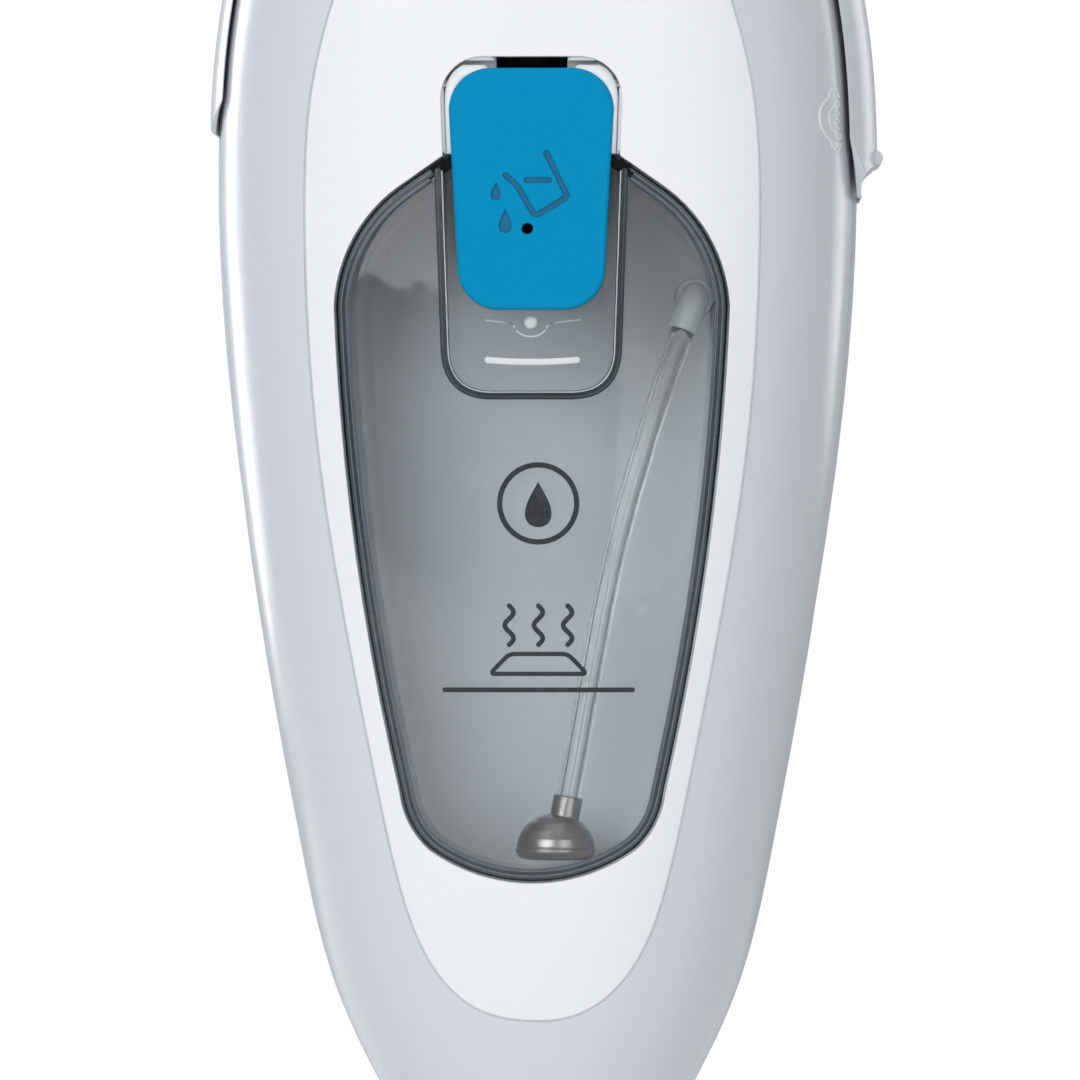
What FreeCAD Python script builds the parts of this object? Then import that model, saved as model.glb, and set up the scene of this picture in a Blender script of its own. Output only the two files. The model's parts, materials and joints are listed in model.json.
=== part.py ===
"""Upright steam mop with a detachable hand-held steam unit, as one parametric FreeCAD document.

Millimetres. +Z is up, the tank faces -Y and the origin lies on the floor on the axis of the neck.
Every driving size is a cell of the sheet "Sizes"; each sub-part is one object of the document.
"""

import FreeCAD
import Part
import math
import os
import Sketcher
from FreeCAD import Placement, Rotation, Vector

X_AXIS, Y_AXIS, Z_AXIS = Vector(1, 0, 0), Vector(0, 1, 0), Vector(0, 0, 1)
FAR = 200.0

# ---------------------------------------------------------------- driving sizes

SIZES = [
    # mop head
    ("pad_thick", 8.0, "height of the microfibre pad"),
    ("pad_margin", 4.0, "how far the pad stands out past the head"),
    ("nose_y", -95.0, "centre of the head's front corner"),
    ("nose_round", 36.0, "radius of the head's front corner"),
    ("heel_y", 42.0, "centre of the head's two rear corners"),
    ("heel_x", 112.0, "centre of a rear corner, sideways"),
    ("heel_round", 40.0, "radius of the head's rear corners"),
    ("strip_thick", 1.2, "height of the hook strips"),
    ("base_top", 17.0, "top of the head's base plate"),
    ("cover_top", 33.0, "top of the head's cover"),
    ("cover_wall", 2.6, "wall of the head's cover"),
    ("ear_gap", 34.6, "clear width between the head's two ears"),
    ("ear_thick", 8.0, "thickness of an ear"),
    ("ear_round", 12.0, "outer radius of an ear"),
    # universal joint
    ("pitch_z", 56.0, "height of the tilt axis"),
    ("roll_z", 88.0, "height of the sideways axis"),
    ("pin_round", 4.0, "radius of both joint pins"),
    ("pin_play", 0.05, "radial play of the pins"),
    ("barrel_round", 15.0, "radius of the knuckle's barrel"),
    ("barrel_long", 33.0, "length of the knuckle's barrel"),
    ("tongue_round", 13.0, "radius of the knuckle's tongue"),
    ("tongue_long", 26.0, "length of the knuckle's tongue"),
    ("fork_round", 15.0, "radius of the fork's ears"),
    ("fork_gap", 27.0, "clear width between the fork's ears"),
    ("fork_thick", 7.0, "thickness of an ear of the fork"),
    # neck and dock
    ("neck_foot", 106.0, "bottom of the neck shells"),
    ("neck_rim", 387.0, "top rim of the dock"),
    ("neck_wall", 2.4, "wall of the neck shells"),
    ("dock_bottom", 338.0, "bottom of the dock socket"),
    ("dock_bore", 11.3, "radius of the dock socket's bore"),
    ("dock_button_z", 366.0, "middle of the dock's release button"),
    ("dock_button_wide", 15.0, "width of the dock's release button"),
    ("dock_button_tall", 24.0, "height of the dock's release button"),
    ("screw_round", 1.7, "radius of a screw's shank"),
    ("head_round", 3.4, "radius of a screw's head"),
    ("head_tall", 2.4, "height of a screw's head"),
    ("post_round", 4.2, "radius of a screw post"),
    # steam unit
    ("hull_wall", 2.6, "wall of the steam unit's shells"),
    ("parting_y", 3.0, "where the front and rear shells meet"),
    ("rear_proud", 1.0, "how far the rear shell stands out at the sides"),
    ("seam", 0.3, "gap between neighbouring shells"),
    ("tank_gap", 0.45, "gap round the tank"),
    ("tank_wall", 2.2, "wall of the water tank"),
    ("tank_back", -10.0, "rear face of the tank"),
    ("tank_weld", -27.0, "weld line of the tank halves"),
    ("recess_floor", -48.0, "floor of the cap's recess"),
    ("pocket_floor", -51.4, "floor of the shallower recess behind the cap's hinge"),
    ("pocket_foot", 603.4, "lower edge of that shallower recess"),
    ("recess_wall", 1.8, "wall round the cap's recess"),
    ("filler_z", 590.0, "height of the filler hole"),
    ("filler_round", 10.2, "radius of the filler hole"),
    ("cap_top", 616.8, "top edge of the filler cap"),
    ("cap_foot", 567.2, "bottom edge of the filler cap"),
    ("cap_thick", 3.6, "thickness of the filler cap"),
    ("cap_pivot_z", 613.6, "height of the cap's hinge"),
    ("cap_pivot_y", -55.5, "depth of the cap's hinge"),
    ("cap_pin_half", 19.2, "half length of the cap's hinge pin"),
    ("cap_pin_round", 0.9, "radius of the cap's hinge pin"),
    ("nozzle_round", 11.0, "radius of the steam nozzle"),
    ("nozzle_tip", 348.0, "tip of the steam nozzle"),
    ("nozzle_bore", 4.5, "bore of the steam nozzle"),
    ("collar_round", 22.0, "radius of the top collar"),
    ("collar_foot", 706.0, "bottom of the top collar"),
    ("collar_rim", 744.0, "rim of the top collar"),
    ("collar_bore", 15.6, "bore of the top collar"),
    ("tube_button_z", 731.0, "height of the handle's release button"),
    ("intake_round", 2.5, "outer radius of the intake hose"),
    ("intake_bore", 1.5, "bore of the intake hose"),
    ("weight_x", 4.5, "sideways place of the intake weight"),
    ("weight_foot", 453.7, "height of the intake weight's foot"),
    ("weight_round", 8.3, "radius of the intake weight"),
    # handle
    ("tube_round", 12.5, "outer radius of the handle tube"),
    ("tube_wall", 1.2, "wall of the handle tube"),
    ("tube_foot", 700.0, "lower end of the handle tube"),
    ("tube_head", 1096.0, "upper end of the handle tube"),
    ("spigot_round", 15.3, "outer radius of the handle's spigot"),
    ("spigot_foot", 692.0, "lower end of the handle's spigot"),
    ("loop_wide", 15.0, "half width of the handle loop's section"),
    ("loop_deep", 10.5, "half depth of the handle loop's section"),
    ("loop_wall", 2.4, "wall of the handle loop"),
    ("upper_hook_z", 1004.0, "height of the fixed cord hook"),
    ("lower_hook_z", 806.0, "height of the swivel cord hook"),
    ("hook_reach", 42.0, "how far the cord hooks stand back"),
]

# height, half width, depth of the front, depth of the rear, squareness of the steam unit's outline
HULL_LEVELS = [
    (388.0, 22.0, 20.0, 20.0, 2.0),
    (396.0, 28.3, 26.5, 24.0, 2.1),
    (405.5, 33.6, 32.5, 28.0, 2.2),
    (422.0, 41.4, 40.0, 33.0, 2.3),
    (456.0, 50.2, 48.5, 40.0, 2.5),
    (507.0, 59.2, 54.5, 45.5, 2.7),
    (560.0, 65.3, 57.5, 48.5, 2.8),
    (598.0, 67.0, 58.0, 50.0, 2.8),
    (635.0, 64.2, 56.5, 50.0, 2.7),
    (668.0, 54.5, 50.5, 45.5, 2.5),
    (692.0, 41.0, 38.5, 36.0, 2.2),
    (708.0, 28.0, 27.5, 27.0, 2.05),
    (717.0, 22.0, 22.0, 22.0, 2.0),
]
HULL_WORDS = ("height", "side", "front", "rear", "square")

# right half of the front panel's edge, from its bottom to its top, as (x, z)
PANEL_EDGE = [
    (0.0, 420.3),
    (13.1, 423.6),
    (24.4, 438.6),
    (32.6, 471.2),
    (41.6, 520.2),
    (46.0, 560.0),
    (46.8, 596.0),
    (43.6, 622.0),
    (33.0, 650.0),
    (16.0, 669.0),
    (0.0, 674.0),
]

doc = FreeCAD.newDocument("steam_mop")
sheet = doc.addObject("Spreadsheet::Sheet", "Sizes")


def fill_sheet():
    """Writes every driving size to the sheet, one row each: its name, its value and its alias."""
    rows = [(alias, number, note) for alias, number, note in SIZES]
    for index, level in enumerate(HULL_LEVELS, 1):
        for word, number in zip(HULL_WORDS, level):
            rows.append((f"hull{index}_{word}", number, f"steam unit outline {index}: {word}"))
    for row, (alias, number, note) in enumerate(rows, 1):
        sheet.set(f"A{row}", note)
        sheet.set(f"B{row}", str(number))
        sheet.setAlias(f"B{row}", alias)
    doc.recompute()


fill_sheet()


def size(alias):
    """The value of one cell of the sheet, in millimetres."""
    return float(sheet.get(alias))


def number(expression):
    """The value of an expression that uses the sheet's aliases as Sizes.alias."""
    return float(sheet.evalExpression(str(expression).replace("Sizes.", "")))


# ---------------------------------------------------------------- document helpers

PARTS = []


def sub_part(obj, label):
    """Names an object of the document as one separate piece of the mop."""
    obj.Label = label
    PARTS.append(obj)
    return obj


def place(obj, at=("0", "0", "0"), turn=None):
    """Turns an object, and binds its place to expressions."""
    if turn:
        obj.Placement = Placement(Vector(), turn)
    for axis, expression in zip("xyz", at):
        obj.setExpression(f"Placement.Base.{axis}", str(expression))
    return obj


def primitive(kind, name, at=("0", "0", "0"), turn=None, **sizes):
    """A Part primitive whose sizes and place are bound to expressions."""
    obj = doc.addObject("Part::" + kind, name)
    for prop, expression in sizes.items():
        obj.setExpression(prop, str(expression))
    return place(obj, at, turn)


def box(name, low, high):
    """A Part box between two corners given as expressions."""
    spans = [f"({top}) - ({bottom})" for bottom, top in zip(low, high)]
    return primitive("Box", name, low, Length=spans[0], Width=spans[1], Height=spans[2])


def rod(name, radius, length, at, turn=None):
    """A Part cylinder; it runs along +Z unless it is turned."""
    return primitive("Cylinder", name, at, turn, Radius=radius, Height=length)


ALONG_X = Rotation(Y_AXIS, 90)
ALONG_Y = Rotation(X_AXIS, -90)


def boolean(kind, name, *members):
    """A Part boolean: Cut takes its first member as the base and joins the others as the tool."""
    if kind != "Cut":
        obj = doc.addObject("Part::" + kind, name)
        obj.Shapes = list(members)
        return obj
    obj = doc.addObject("Part::Cut", name)
    obj.Base = members[0]
    obj.Tool = members[1] if len(members) == 2 else boolean("MultiFuse", name + "_tool", *members[1:])
    return obj


def feature(name, shape):
    """A Part::Feature for a shape that neither a sketch nor a primitive gives."""
    obj = doc.addObject("Part::Feature", name)
    obj.Shape = shape
    return obj


def closed_sketch(body, name, outline, plane):
    """A closed polyline sketch whose every corner is held by two dimensions bound to the sheet."""
    sketch = body.newObject("Sketcher::SketchObject", name)
    origin_plane = next(f for f in body.Origin.OriginFeatures if f.Role == plane)
    sketch.AttachmentSupport = [(origin_plane, "")]
    sketch.MapMode = "FlatFace"
    corners = [(number(u), number(v)) for u, v in outline]
    count = len(corners)
    for index in range(count):
        start, end = corners[index], corners[(index + 1) % count]
        sketch.addGeometry(Part.LineSegment(Vector(*start, 0), Vector(*end, 0)), False)
    for index in range(count):
        sketch.addConstraint(Sketcher.Constraint("Coincident", index, 2, (index + 1) % count, 1))
    for index, expressions in enumerate(outline):
        for kind, expression in zip(("DistanceX", "DistanceY"), expressions):
            held = Sketcher.Constraint(kind, -1, 1, index, 1, number(expression))
            constraint = sketch.addConstraint(held)
            sketch.setExpression(f"Constraints[{constraint}]", str(expression))
    return sketch


def turned(name, profile, at=("0", "0", "0"), turn=None):
    """A PartDesign body turned about its Z axis from a profile of (radius, height) expressions."""
    body = doc.addObject("PartDesign::Body", name)
    sketch = closed_sketch(body, name + "_profile", profile, "XZ_Plane")
    revolution = body.newObject("PartDesign::Revolution", name + "_turned")
    revolution.Profile = sketch
    revolution.ReferenceAxis = (sketch, ["V_Axis"])
    revolution.Angle = 360
    return place(body, at, turn)


def ring(name, outer, inner, low, high):
    """A turned ring between two radii and two heights."""
    return turned(name, [(inner, low), (outer, low), (outer, high), (inner, high)])


def block(name, wide, tall, thick, at, plane="XZ_Plane", corner=None):
    """A PartDesign block centred on its sketch, padded both ways, with rounded corners if asked."""
    body = doc.addObject("PartDesign::Body", name)
    half_w, half_h = f"({wide})/2", f"({tall})/2"
    outline = [
        ("-" + half_w, "-" + half_h),
        (half_w, "-" + half_h),
        (half_w, half_h),
        ("-" + half_w, half_h),
    ]
    sketch = closed_sketch(body, name + "_outline", outline, plane)
    pad = body.newObject("PartDesign::Pad", name + "_pad")
    pad.Profile = sketch
    pad.SideType = "Symmetric"
    pad.setExpression("Length", str(thick))
    if corner:
        doc.recompute()
        depth = {"XZ_Plane": Y_AXIS, "XY_Plane": Z_AXIS, "YZ_Plane": X_AXIS}[plane]
        edges = [
            f"Edge{index}"
            for index, edge in enumerate(pad.Shape.Edges, 1)
            if edge.tangentAt(edge.FirstParameter).cross(depth).Length < 0.01
        ]
        fillet = body.newObject("PartDesign::Fillet", name + "_corners")
        fillet.Base = (pad, edges)
        fillet.setExpression("Radius", str(corner))
        body.Tip = fillet
    return place(body, at)


# ---------------------------------------------------------------- geometry helpers


def prism(wire, near, far):
    """Extrudes a wire that lies in the XZ plane from y = near to y = far."""
    solid = Part.Face(wire).extrude(Vector(0, far - near, 0))
    solid.translate(Vector(0, near, 0))
    return solid


def mirrored(points):
    """Adds the left half of an outline that starts and ends on x = 0."""
    return points + [Vector(-p.x, p.y, p.z) for p in reversed(points[1:-1])]


def smooth_curve(points):
    """A closed smooth curve through the points."""
    curve = Part.BSplineCurve()
    knots = [float(step) for step in range(len(points) + 1)]
    curve.interpolate(Points=points, PeriodicFlag=True, Parameters=knots)
    return curve


def offset_wire(wire, distance):
    """A flat wire moved outwards by a distance, or inwards if it is negative."""
    grown = Part.Face(wire).makeOffset2D(distance)
    return grown.OuterWire if grown.ShapeType == "Face" else Part.Wire(grown.Edges)


def bend_edges(points, closed=False, radius=None):
    """Straight runs joined by tangent arcs: each arc as large as its two runs allow, or of one radius."""
    count = len(points)
    turns = range(count) if closed else range(1, count - 1)
    cuts = {}
    for index in turns:
        before, corner, after = points[index - 1], points[index], points[(index + 1) % count]
        back, ahead = before - corner, after - corner
        half_turn = (math.pi - back.getAngle(ahead)) / 2
        reach = 0.45 * min(back.Length, ahead.Length)
        if radius:
            reach = min(reach, radius * math.tan(half_turn))
        back.normalize()
        ahead.normalize()
        start, end = corner + back * reach, corner + ahead * reach
        arc_radius = reach / math.tan(half_turn)
        bisector = back + ahead
        bisector.normalize()
        centre = corner + bisector * (arc_radius / math.cos(half_turn))
        cuts[index] = (start, centre - bisector * arc_radius, end, arc_radius)
    edges = []
    for index in range(count if closed else count - 1):
        following = (index + 1) % count
        start = cuts[index][2] if index in cuts else points[index]
        end = cuts[following][0] if following in cuts else points[following]
        if (end - start).Length > 0.01:
            edges.append(Part.LineSegment(start, end).toShape())
        if following in cuts:
            first, middle, last, _ = cuts[following]
            edges.append(Part.Arc(first, middle, last).toShape())
    return edges, [cut[3] for cut in cuts.values()]


def bent_rod(points, radius):
    """A round rod along straight runs and tangent arcs."""
    edges, _ = bend_edges(points)
    path = Part.Wire(Part.__sortEdges__(edges))
    heading = points[1] - points[0]
    section = Part.Wire(Part.Circle(points[0], heading, radius).toShape())
    return path.makePipeShell([section], True, False)


def bent_tube(points, radius, bore):
    """A round tube along straight runs and tangent arcs."""
    return bent_rod(points, radius).cut(bent_rod(points, bore))


def delta_wire(grow, height, nose=0.0):
    """The mop head's outline: three corner arcs joined by tangent lines, grown by a margin."""
    heel = size("heel_round") + grow
    corners = [
        (Vector(0, size("nose_y") + nose, height), size("nose_round") + grow),
        (Vector(size("heel_x"), size("heel_y"), height), heel),
        (Vector(-size("heel_x"), size("heel_y"), height), heel),
    ]
    tangents = []
    for index, (centre, radius) in enumerate(corners):
        next_centre, next_radius = corners[(index + 1) % 3]
        span = next_centre - centre
        along = span / span.Length
        lean = (radius - next_radius) / span.Length
        outward = Vector(along.y, -along.x, 0)
        normal = outward * math.sqrt(1 - lean * lean) + along * lean
        tangents.append((centre + normal * radius, next_centre + normal * next_radius))
    edges = []
    for index, (centre, radius) in enumerate(corners):
        arrives, leaves = tangents[index - 1][1], tangents[index][0]
        middle = (arrives - centre) + (leaves - centre)
        middle.normalize()
        edges.append(Part.Arc(arrives, centre + middle * radius, leaves).toShape())
        edges.append(Part.LineSegment(*tangents[index]).toShape())
    return Part.Wire(edges)


def delta_plate(grow, low, high):
    """A flat plate with the mop head's outline."""
    return Part.Face(delta_wire(grow, low)).extrude(Vector(0, 0, high - low))


# ---------------------------------------------------------------- mop head

HEAD_SCREWS = ((-90, 40), (90, 40), (0, -100))


def head_cover():
    """Domed cover of the mop head with the two ears that hold the tilt pin."""
    wall = size("cover_wall")

    def dome(shrink, top):
        levels = [(-1.0, 0.0), (-2.5, 0.35), (-8.0, 0.8), (-20.0, 1.0)]
        low = size("base_top")
        wires = [delta_wire(grow - shrink, low + (top - low) * part) for grow, part in levels]
        return Part.makeLoft(wires, True, False)

    shell = dome(0.0, size("cover_top"))
    hollow = dome(wall, size("cover_top") - wall)
    half_gap, thick = size("ear_gap") / 2, size("ear_thick")
    ear_round, pitch = size("ear_round"), size("pitch_z")
    outer_wide, saddle_deep, saddle_top = 2 * (half_gap + thick), 52.0, 38.5
    saddle_foot = 20.0
    corner = Vector(-outer_wide / 2, -saddle_deep / 2, saddle_foot)
    saddle = Part.makeBox(outer_wide, saddle_deep, saddle_top - saddle_foot, corner)
    upright = [e for e in saddle.Edges if abs(e.tangentAt(0).z) > 0.9]
    saddle = saddle.makeFillet(9.0, upright)
    ears = []
    for side in (-1, 1):
        low_x = half_gap if side > 0 else -half_gap - thick
        outline = [
            Vector(low_x, -22, 24),
            Vector(low_x, 22, 24),
            Vector(low_x, ear_round, pitch),
            Vector(low_x, -ear_round, pitch),
        ]
        web = Part.Face(Part.makePolygon(outline + outline[:1])).extrude(Vector(thick, 0, 0))
        ears.append(web.fuse(Part.makeCylinder(ear_round, thick, Vector(low_x, 0, pitch), X_AXIS)))
    pin_hole = Part.makeCylinder(size("pin_round"), FAR, Vector(-FAR / 2, 0, pitch), X_AXIS)
    pillar_hole = Part.makeCylinder(6.0, FAR, Vector(0, 0, 0))
    solid = shell.fuse([saddle] + ears).removeSplitter().cut(hollow)
    return solid.cut(pin_hole).cut(pillar_hole)


def make_head():
    """Pad, hook strips, base, distributor, trim, cover and tilt pin."""
    pad_top, base_top = size("pad_thick"), size("base_top")
    base_low = pad_top + size("strip_thick")
    pad = feature("pad_solid", delta_plate(size("pad_margin"), 0, pad_top))
    sub_part(pad, "microfibre_pad")

    strip_z = "Sizes.pad_thick + Sizes.strip_thick/2"
    strips = [
        block(f"strip{index}", wide, "16", "Sizes.strip_thick", ("0", y, strip_z), "XY_Plane", "4")
        for index, (wide, y) in enumerate((("60", "-86"), ("130", "-52"), ("190", "58")), 1)
    ]
    sub_part(boolean("MultiFuse", "strips", *strips), "hook_strips")

    groove = delta_plate(-2.0, base_low + 3.4, base_low + 6.4)
    rim = delta_plate(0.6, base_low + 3.5, base_low + 6.3).cut(delta_plate(-1.9, base_low, base_top))
    outer = delta_plate(0, base_low, base_top)
    edge_band = outer.cut(groove.common(outer))
    base = outer.cut(delta_plate(0.5, base_low + 3.4, base_low + 6.4).cut(groove))
    base = base.common(edge_band.fuse(groove))
    well = Part.makeBox(150, 60, 4.0, Vector(-75, -36, base_low - 0.5))
    steam_hole = Part.makeCylinder(4.5, base_top, Vector(0, 0, 0))
    base = base.cut(well).cut(steam_hole)
    for x, y in HEAD_SCREWS:
        base = base.cut(Part.makeCylinder(2.2, base_top, Vector(x, y, 0)))
    sub_part(feature("base_solid", base), "head_base")
    sub_part(feature("trim_solid", rim), "head_trim")

    low = "Sizes.pad_thick + Sizes.strip_thick"
    plate = box("distributor_plate", ("-74", "-35", low), ("74", "23", f"{low} + 2"))
    jets = [
        rod(f"jet{row}{column}", "1.5", "20", (str(-60 + 24 * column), str(-22 + 34 * row), "0"))
        for row in range(2)
        for column in range(6)
    ]
    inlet = rod("inlet_pipe", "4.4", "Sizes.cover_top - Sizes.pad_thick", ("0", "0", f"{low} + 1"))
    bore = rod("inlet_bore", "3", "40", ("0", "0", f"{low} + 2"))
    port = rod("inlet_port", "0.8", "20", ("0", "-10", f"{low} + 2.8"), ALONG_Y)
    moulding = boolean("MultiFuse", "distributor_moulding", plate, inlet)
    sub_part(boolean("Cut", "distributor", moulding, bore, port, *jets), "steam_distributor")

    sub_part(feature("cover_solid", head_cover()), "head_cover")

    reach = "Sizes.ear_gap/2 + Sizes.ear_thick"
    sub_part(
        turned(
            "pitch_pin_body",
            [
                ("2", f"-({reach})"),
                ("Sizes.pin_round", f"-({reach})"),
                ("Sizes.pin_round", reach),
                ("2", reach),
            ],
            ("0", "0", "Sizes.pitch_z"),
            ALONG_X,
        ),
        "pitch_pin",
    )
    caps = [
        turned(
            f"pivot_cap{index}",
            [("0", "0.05"), ("7", "0.05"), ("7", "1.4"), ("5", "2.4"), ("0", "2.4")],
            (f"{side}({reach})", "0", "Sizes.pitch_z"),
            Rotation(Y_AXIS, 90 if side == "" else -90),
        )
        for index, side in enumerate(("", "-"))
    ]
    sub_part(boolean("MultiFuse", "pivot_cap_pair", *caps), "pivot_caps")

    screw_long = "Sizes.base_top - Sizes.pad_thick - 1.4"
    screws = [
        turned(
            f"head_screw{index}",
            [("0", "0"), ("2.1", "0"), ("2.1", screw_long), ("0", screw_long)],
            (str(x), str(y), "Sizes.pad_thick + 1.4"),
        )
        for index, (x, y) in enumerate(HEAD_SCREWS)
    ]
    sub_part(boolean("MultiFuse", "head_screw_set", *screws), "head_screws")


def make_knuckle():
    """Universal joint between head and neck: a cross block that turns on two pins at right angles."""
    barrel = rod("barrel", "Sizes.barrel_round", "Sizes.barrel_long",
                 ("-Sizes.barrel_long/2", "0", "Sizes.pitch_z"), ALONG_X)
    tongue = rod("tongue", "Sizes.tongue_round", "Sizes.tongue_long",
                 ("0", "-Sizes.tongue_long/2", "Sizes.roll_z"), ALONG_Y)
    web = box("knuckle_web", ("-11.5", "-11", "Sizes.pitch_z"), ("11.5", "11", "Sizes.roll_z"))
    body = boolean("MultiFuse", "knuckle_block", barrel, tongue, web)
    pitch_hole = rod("pitch_hole", "Sizes.pin_round + Sizes.pin_play", "100",
                     ("-50", "0", "Sizes.pitch_z"), ALONG_X)
    roll_hole = rod("roll_hole", "Sizes.pin_round + Sizes.pin_play", "100",
                    ("0", "-50", "Sizes.roll_z"), ALONG_Y)
    passage = rod("steam_passage", "2.5", "Sizes.roll_z - Sizes.pitch_z", ("0", "0", "Sizes.pitch_z"))
    sub_part(boolean("Cut", "knuckle_cut", body, pitch_hole, roll_hole, passage), "knuckle")


# ---------------------------------------------------------------- neck and dock

# x, z and seat depth of the neck's screws
NECK_SCREWS = ((9.4, 140.0, 9.0), (-9.4, 224.0, 7.6), (9.4, 306.0, 9.0))


def spun_shell(outline, wall, low, high):
    """A shell of revolution under a smooth outline of (radius, height) points, cut off at two heights."""

    def solid(inset):
        curve = Part.BSplineCurve()
        curve.interpolate([Vector(radius - inset, 0, z) for radius, z in outline])
        top, bottom = outline[-1][1], outline[0][1]
        sides = Part.makePolygon([
            Vector(outline[-1][0] - inset, 0, top),
            Vector(0, 0, top),
            Vector(0, 0, bottom),
            Vector(outline[0][0] - inset, 0, bottom),
        ])
        face = Part.Face(Part.Wire([curve.toShape()] + sides.Edges))
        return face.revolve(Vector(), Z_AXIS, 360)

    slab = Part.makeBox(FAR, FAR, high - low, Vector(-FAR / 2, -FAR / 2, low))
    return solid(0).cut(solid(wall)).common(slab)


def oval_prism(wide, tall, middle, near, far):
    """An upright slot shape through the front wall, as a prism along Y."""
    radius = wide / 2
    straight = tall / 2 - radius
    right = Part.LineSegment(Vector(radius, 0, middle - straight), Vector(radius, 0, middle + straight))
    left = Part.LineSegment(Vector(-radius, 0, middle + straight), Vector(-radius, 0, middle - straight))
    top = Part.Arc(right.EndPoint, Vector(0, 0, middle + tall / 2), left.StartPoint)
    bottom = Part.Arc(left.EndPoint, Vector(0, 0, middle - tall / 2), right.StartPoint)
    wire = Part.Wire([e.toShape() for e in (right, top, left, bottom)])
    return prism(wire, near, far)


def screw_set(name, places):
    """Identical countersunk screws along Y, each at (x, z, the depth of its seat)."""
    shank = "8 + Sizes.head_tall"
    screws = [
        turned(
            f"{name}{index}",
            [
                ("0", f"-({shank})"),
                ("Sizes.screw_round", f"-({shank})"),
                ("Sizes.screw_round", "0"),
                ("Sizes.head_round", "0"),
                ("Sizes.head_round", "Sizes.head_tall*0.6"),
                ("Sizes.head_round*0.6", "Sizes.head_tall"),
                ("0", "Sizes.head_tall"),
            ],
            (str(x), str(seat), str(z)),
            ALONG_Y,
        )
        for index, (x, z, seat) in enumerate(places, 1)
    ]
    return boolean("MultiFuse", name + "_set", *screws)


def posted(front, rear, limit_front, limit_rear, places, reach):
    """Gives a front shell its screw posts and a rear shell its counterbored bosses."""
    post, screw, head = size("post_round"), size("screw_round"), size("head_round")
    lip = 2.6
    for x, z, seat in places:
        pillar = Part.makeCylinder(post, reach + seat - lip - 0.2, Vector(x, -reach, z), Y_AXIS)
        front = front.fuse(pillar.common(limit_front))
        boss = Part.makeCylinder(head + 1.8, 60, Vector(x, seat - lip, z), Y_AXIS)
        rear = rear.fuse(boss.common(limit_rear))
    for x, z, seat in places:
        front = front.cut(Part.makeCylinder(screw + 0.1, 30, Vector(x, seat - 15, z), Y_AXIS))
        rear = rear.cut(Part.makeCylinder(screw + 0.3, 30, Vector(x, seat - 15, z), Y_AXIS))
        rear = rear.cut(Part.makeCylinder(head + 0.3, 60, Vector(x, seat, z), Y_AXIS))
    return front, rear


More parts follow.
